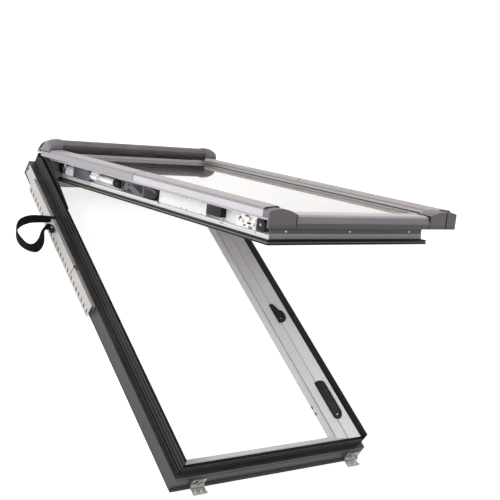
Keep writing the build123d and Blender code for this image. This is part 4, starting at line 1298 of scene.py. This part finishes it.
class WINDOW_OT_stage(bpy.types.Operator):
    """Set the floor, the lamps and the camera"""

    bl_idname = "window.stage"
    bl_label = "Stage"

    def execute(self, context):
        """Build the floor, the world, two large lamps and the camera."""
        stage = context.scene.window_stage
        self.floor(stage)
        self.sky(stage)
        self.lamp("key_lamp", stage.key_lamp, place=(-3.3, 0.3, 1.7), size=(2.6, 2.0))
        self.lamp("top_lamp", stage.top_lamp, place=(-0.4, 0.8, 2.9), size=(2.4, 1.8))
        self.camera(stage)
        context.scene.view_settings.view_transform = "Standard"
        return {"FINISHED"}

    def floor(self, stage):
        """A wide plain floor just under the window's back plane."""
        reach = 30.0
        corners = [(-reach, -reach, 0), (reach, -reach, 0), (reach, reach, 0), (-reach, reach, 0)]
        mesh = bpy.data.meshes.new("floor")
        mesh.from_pydata(corners, [], [(0, 1, 2, 3)])
        ground = add_object("floor", mesh)
        material, tree, shader = start_material("plain_floor")
        feed(tree, shader.inputs, {
            "Base Color": (*stage.floor, 1), "Roughness": 0.9, "Emission Color": PLAIN_WHITE,
            "Emission Strength": calculate(tree, "MULTIPLY", self.seen(tree), stage.floor_lift)})
        mesh.materials.append(material)

    def seen(self, tree):
        """One where a camera, glossy or transmission ray looks, else nought."""
        rays = add(tree, "LightPath").outputs
        either = calculate(tree, "ADD", rays["Is Camera Ray"], rays["Is Glossy Ray"])
        return calculate(tree, "ADD", either, rays["Is Transmission Ray"], clamp=True)

    def sky(self, stage):
        """An even pale sky that shows white and lights the window at a plain level."""
        world = bpy.data.worlds.new("sky")
        world.use_nodes = True
        bpy.context.scene.world = world
        tree = world.node_tree
        feed(tree, tree.nodes["Background"].inputs, {
            "Color": PLAIN_WHITE, "Strength": spread(tree, self.seen(tree), stage.sky, 1.0)})

    def lamp(self, name, power, place, size):
        """A large soft lamp that looks at the middle of the window."""
        middle = Vector((0, 0, 0.2))
        light = bpy.data.lights.new(name, "AREA")
        light.shape = "RECTANGLE"
        light.size, light.size_y = size
        light.energy = power
        lamp = add_object(name, light)
        turn = (middle - Vector(place)).to_track_quat("-Z", "Y").to_matrix().to_4x4()
        lamp.matrix_world = Matrix.Translation(place) @ turn

    def camera(self, stage):
        """The camera, from its own right, up and back directions."""
        right = Vector((0.79255, -0.42732, 0.43505))
        up = Vector((0.00855, 0.72114, 0.69274))
        back = Vector((-0.60975, -0.54531, 0.57519))
        data = bpy.data.cameras.new("camera")
        data.sensor_width = 36.0
        data.lens = stage.lens
        data.clip_end = 200.0
        camera = add_object("camera", data)
        turn = Matrix((right, up, back)).transposed().to_4x4()
        camera.matrix_world = Matrix.Translation(Vector(stage.camera_place)) @ turn
        bpy.context.scene.camera = camera


class WINDOW_PT_panel(bpy.types.Panel):
    """Lists the steps that finish the window"""

    bl_idname = "WINDOW_PT_panel"
    bl_label = "Roof window"
    bl_space_type = "VIEW_3D"
    bl_region_type = "UI"
    bl_category = "Roof window"

    def draw(self, context):
        """One button for each step."""
        for step in STEPS:
            self.layout.operator(step.bl_idname)


STEPS = (
    WINDOW_OT_finishes, WINDOW_OT_frame_trim, WINDOW_OT_seals, WINDOW_OT_covers, WINDOW_OT_low_caps,
    WINDOW_OT_hood, WINDOW_OT_rail_faces, WINDOW_OT_hardware, WINDOW_OT_locks, WINDOW_OT_strikes,
    WINDOW_OT_fixings, WINDOW_OT_strap, WINDOW_OT_handle, WINDOW_OT_stage,
)
CLASSES = (FinishSettings, StageSettings, *STEPS, WINDOW_PT_panel)


def register():
    """Register the classes and hang the settings on the scene."""
    for item in CLASSES:
        bpy.utils.register_class(item)
    bpy.types.Scene.window_finishes = bpy.props.PointerProperty(type=FinishSettings)
    bpy.types.Scene.window_stage = bpy.props.PointerProperty(type=StageSettings)


def unregister():
    """Take the settings and the classes away again."""
    del bpy.types.Scene.window_stage
    del bpy.types.Scene.window_finishes
    for item in reversed(CLASSES):
        bpy.utils.unregister_class(item)


def main():
    """Run every step in order."""
    register()
    for step in STEPS:
        getattr(bpy.ops.window, step.bl_idname.partition(".")[2])()


if __name__ == "__main__":
    main()
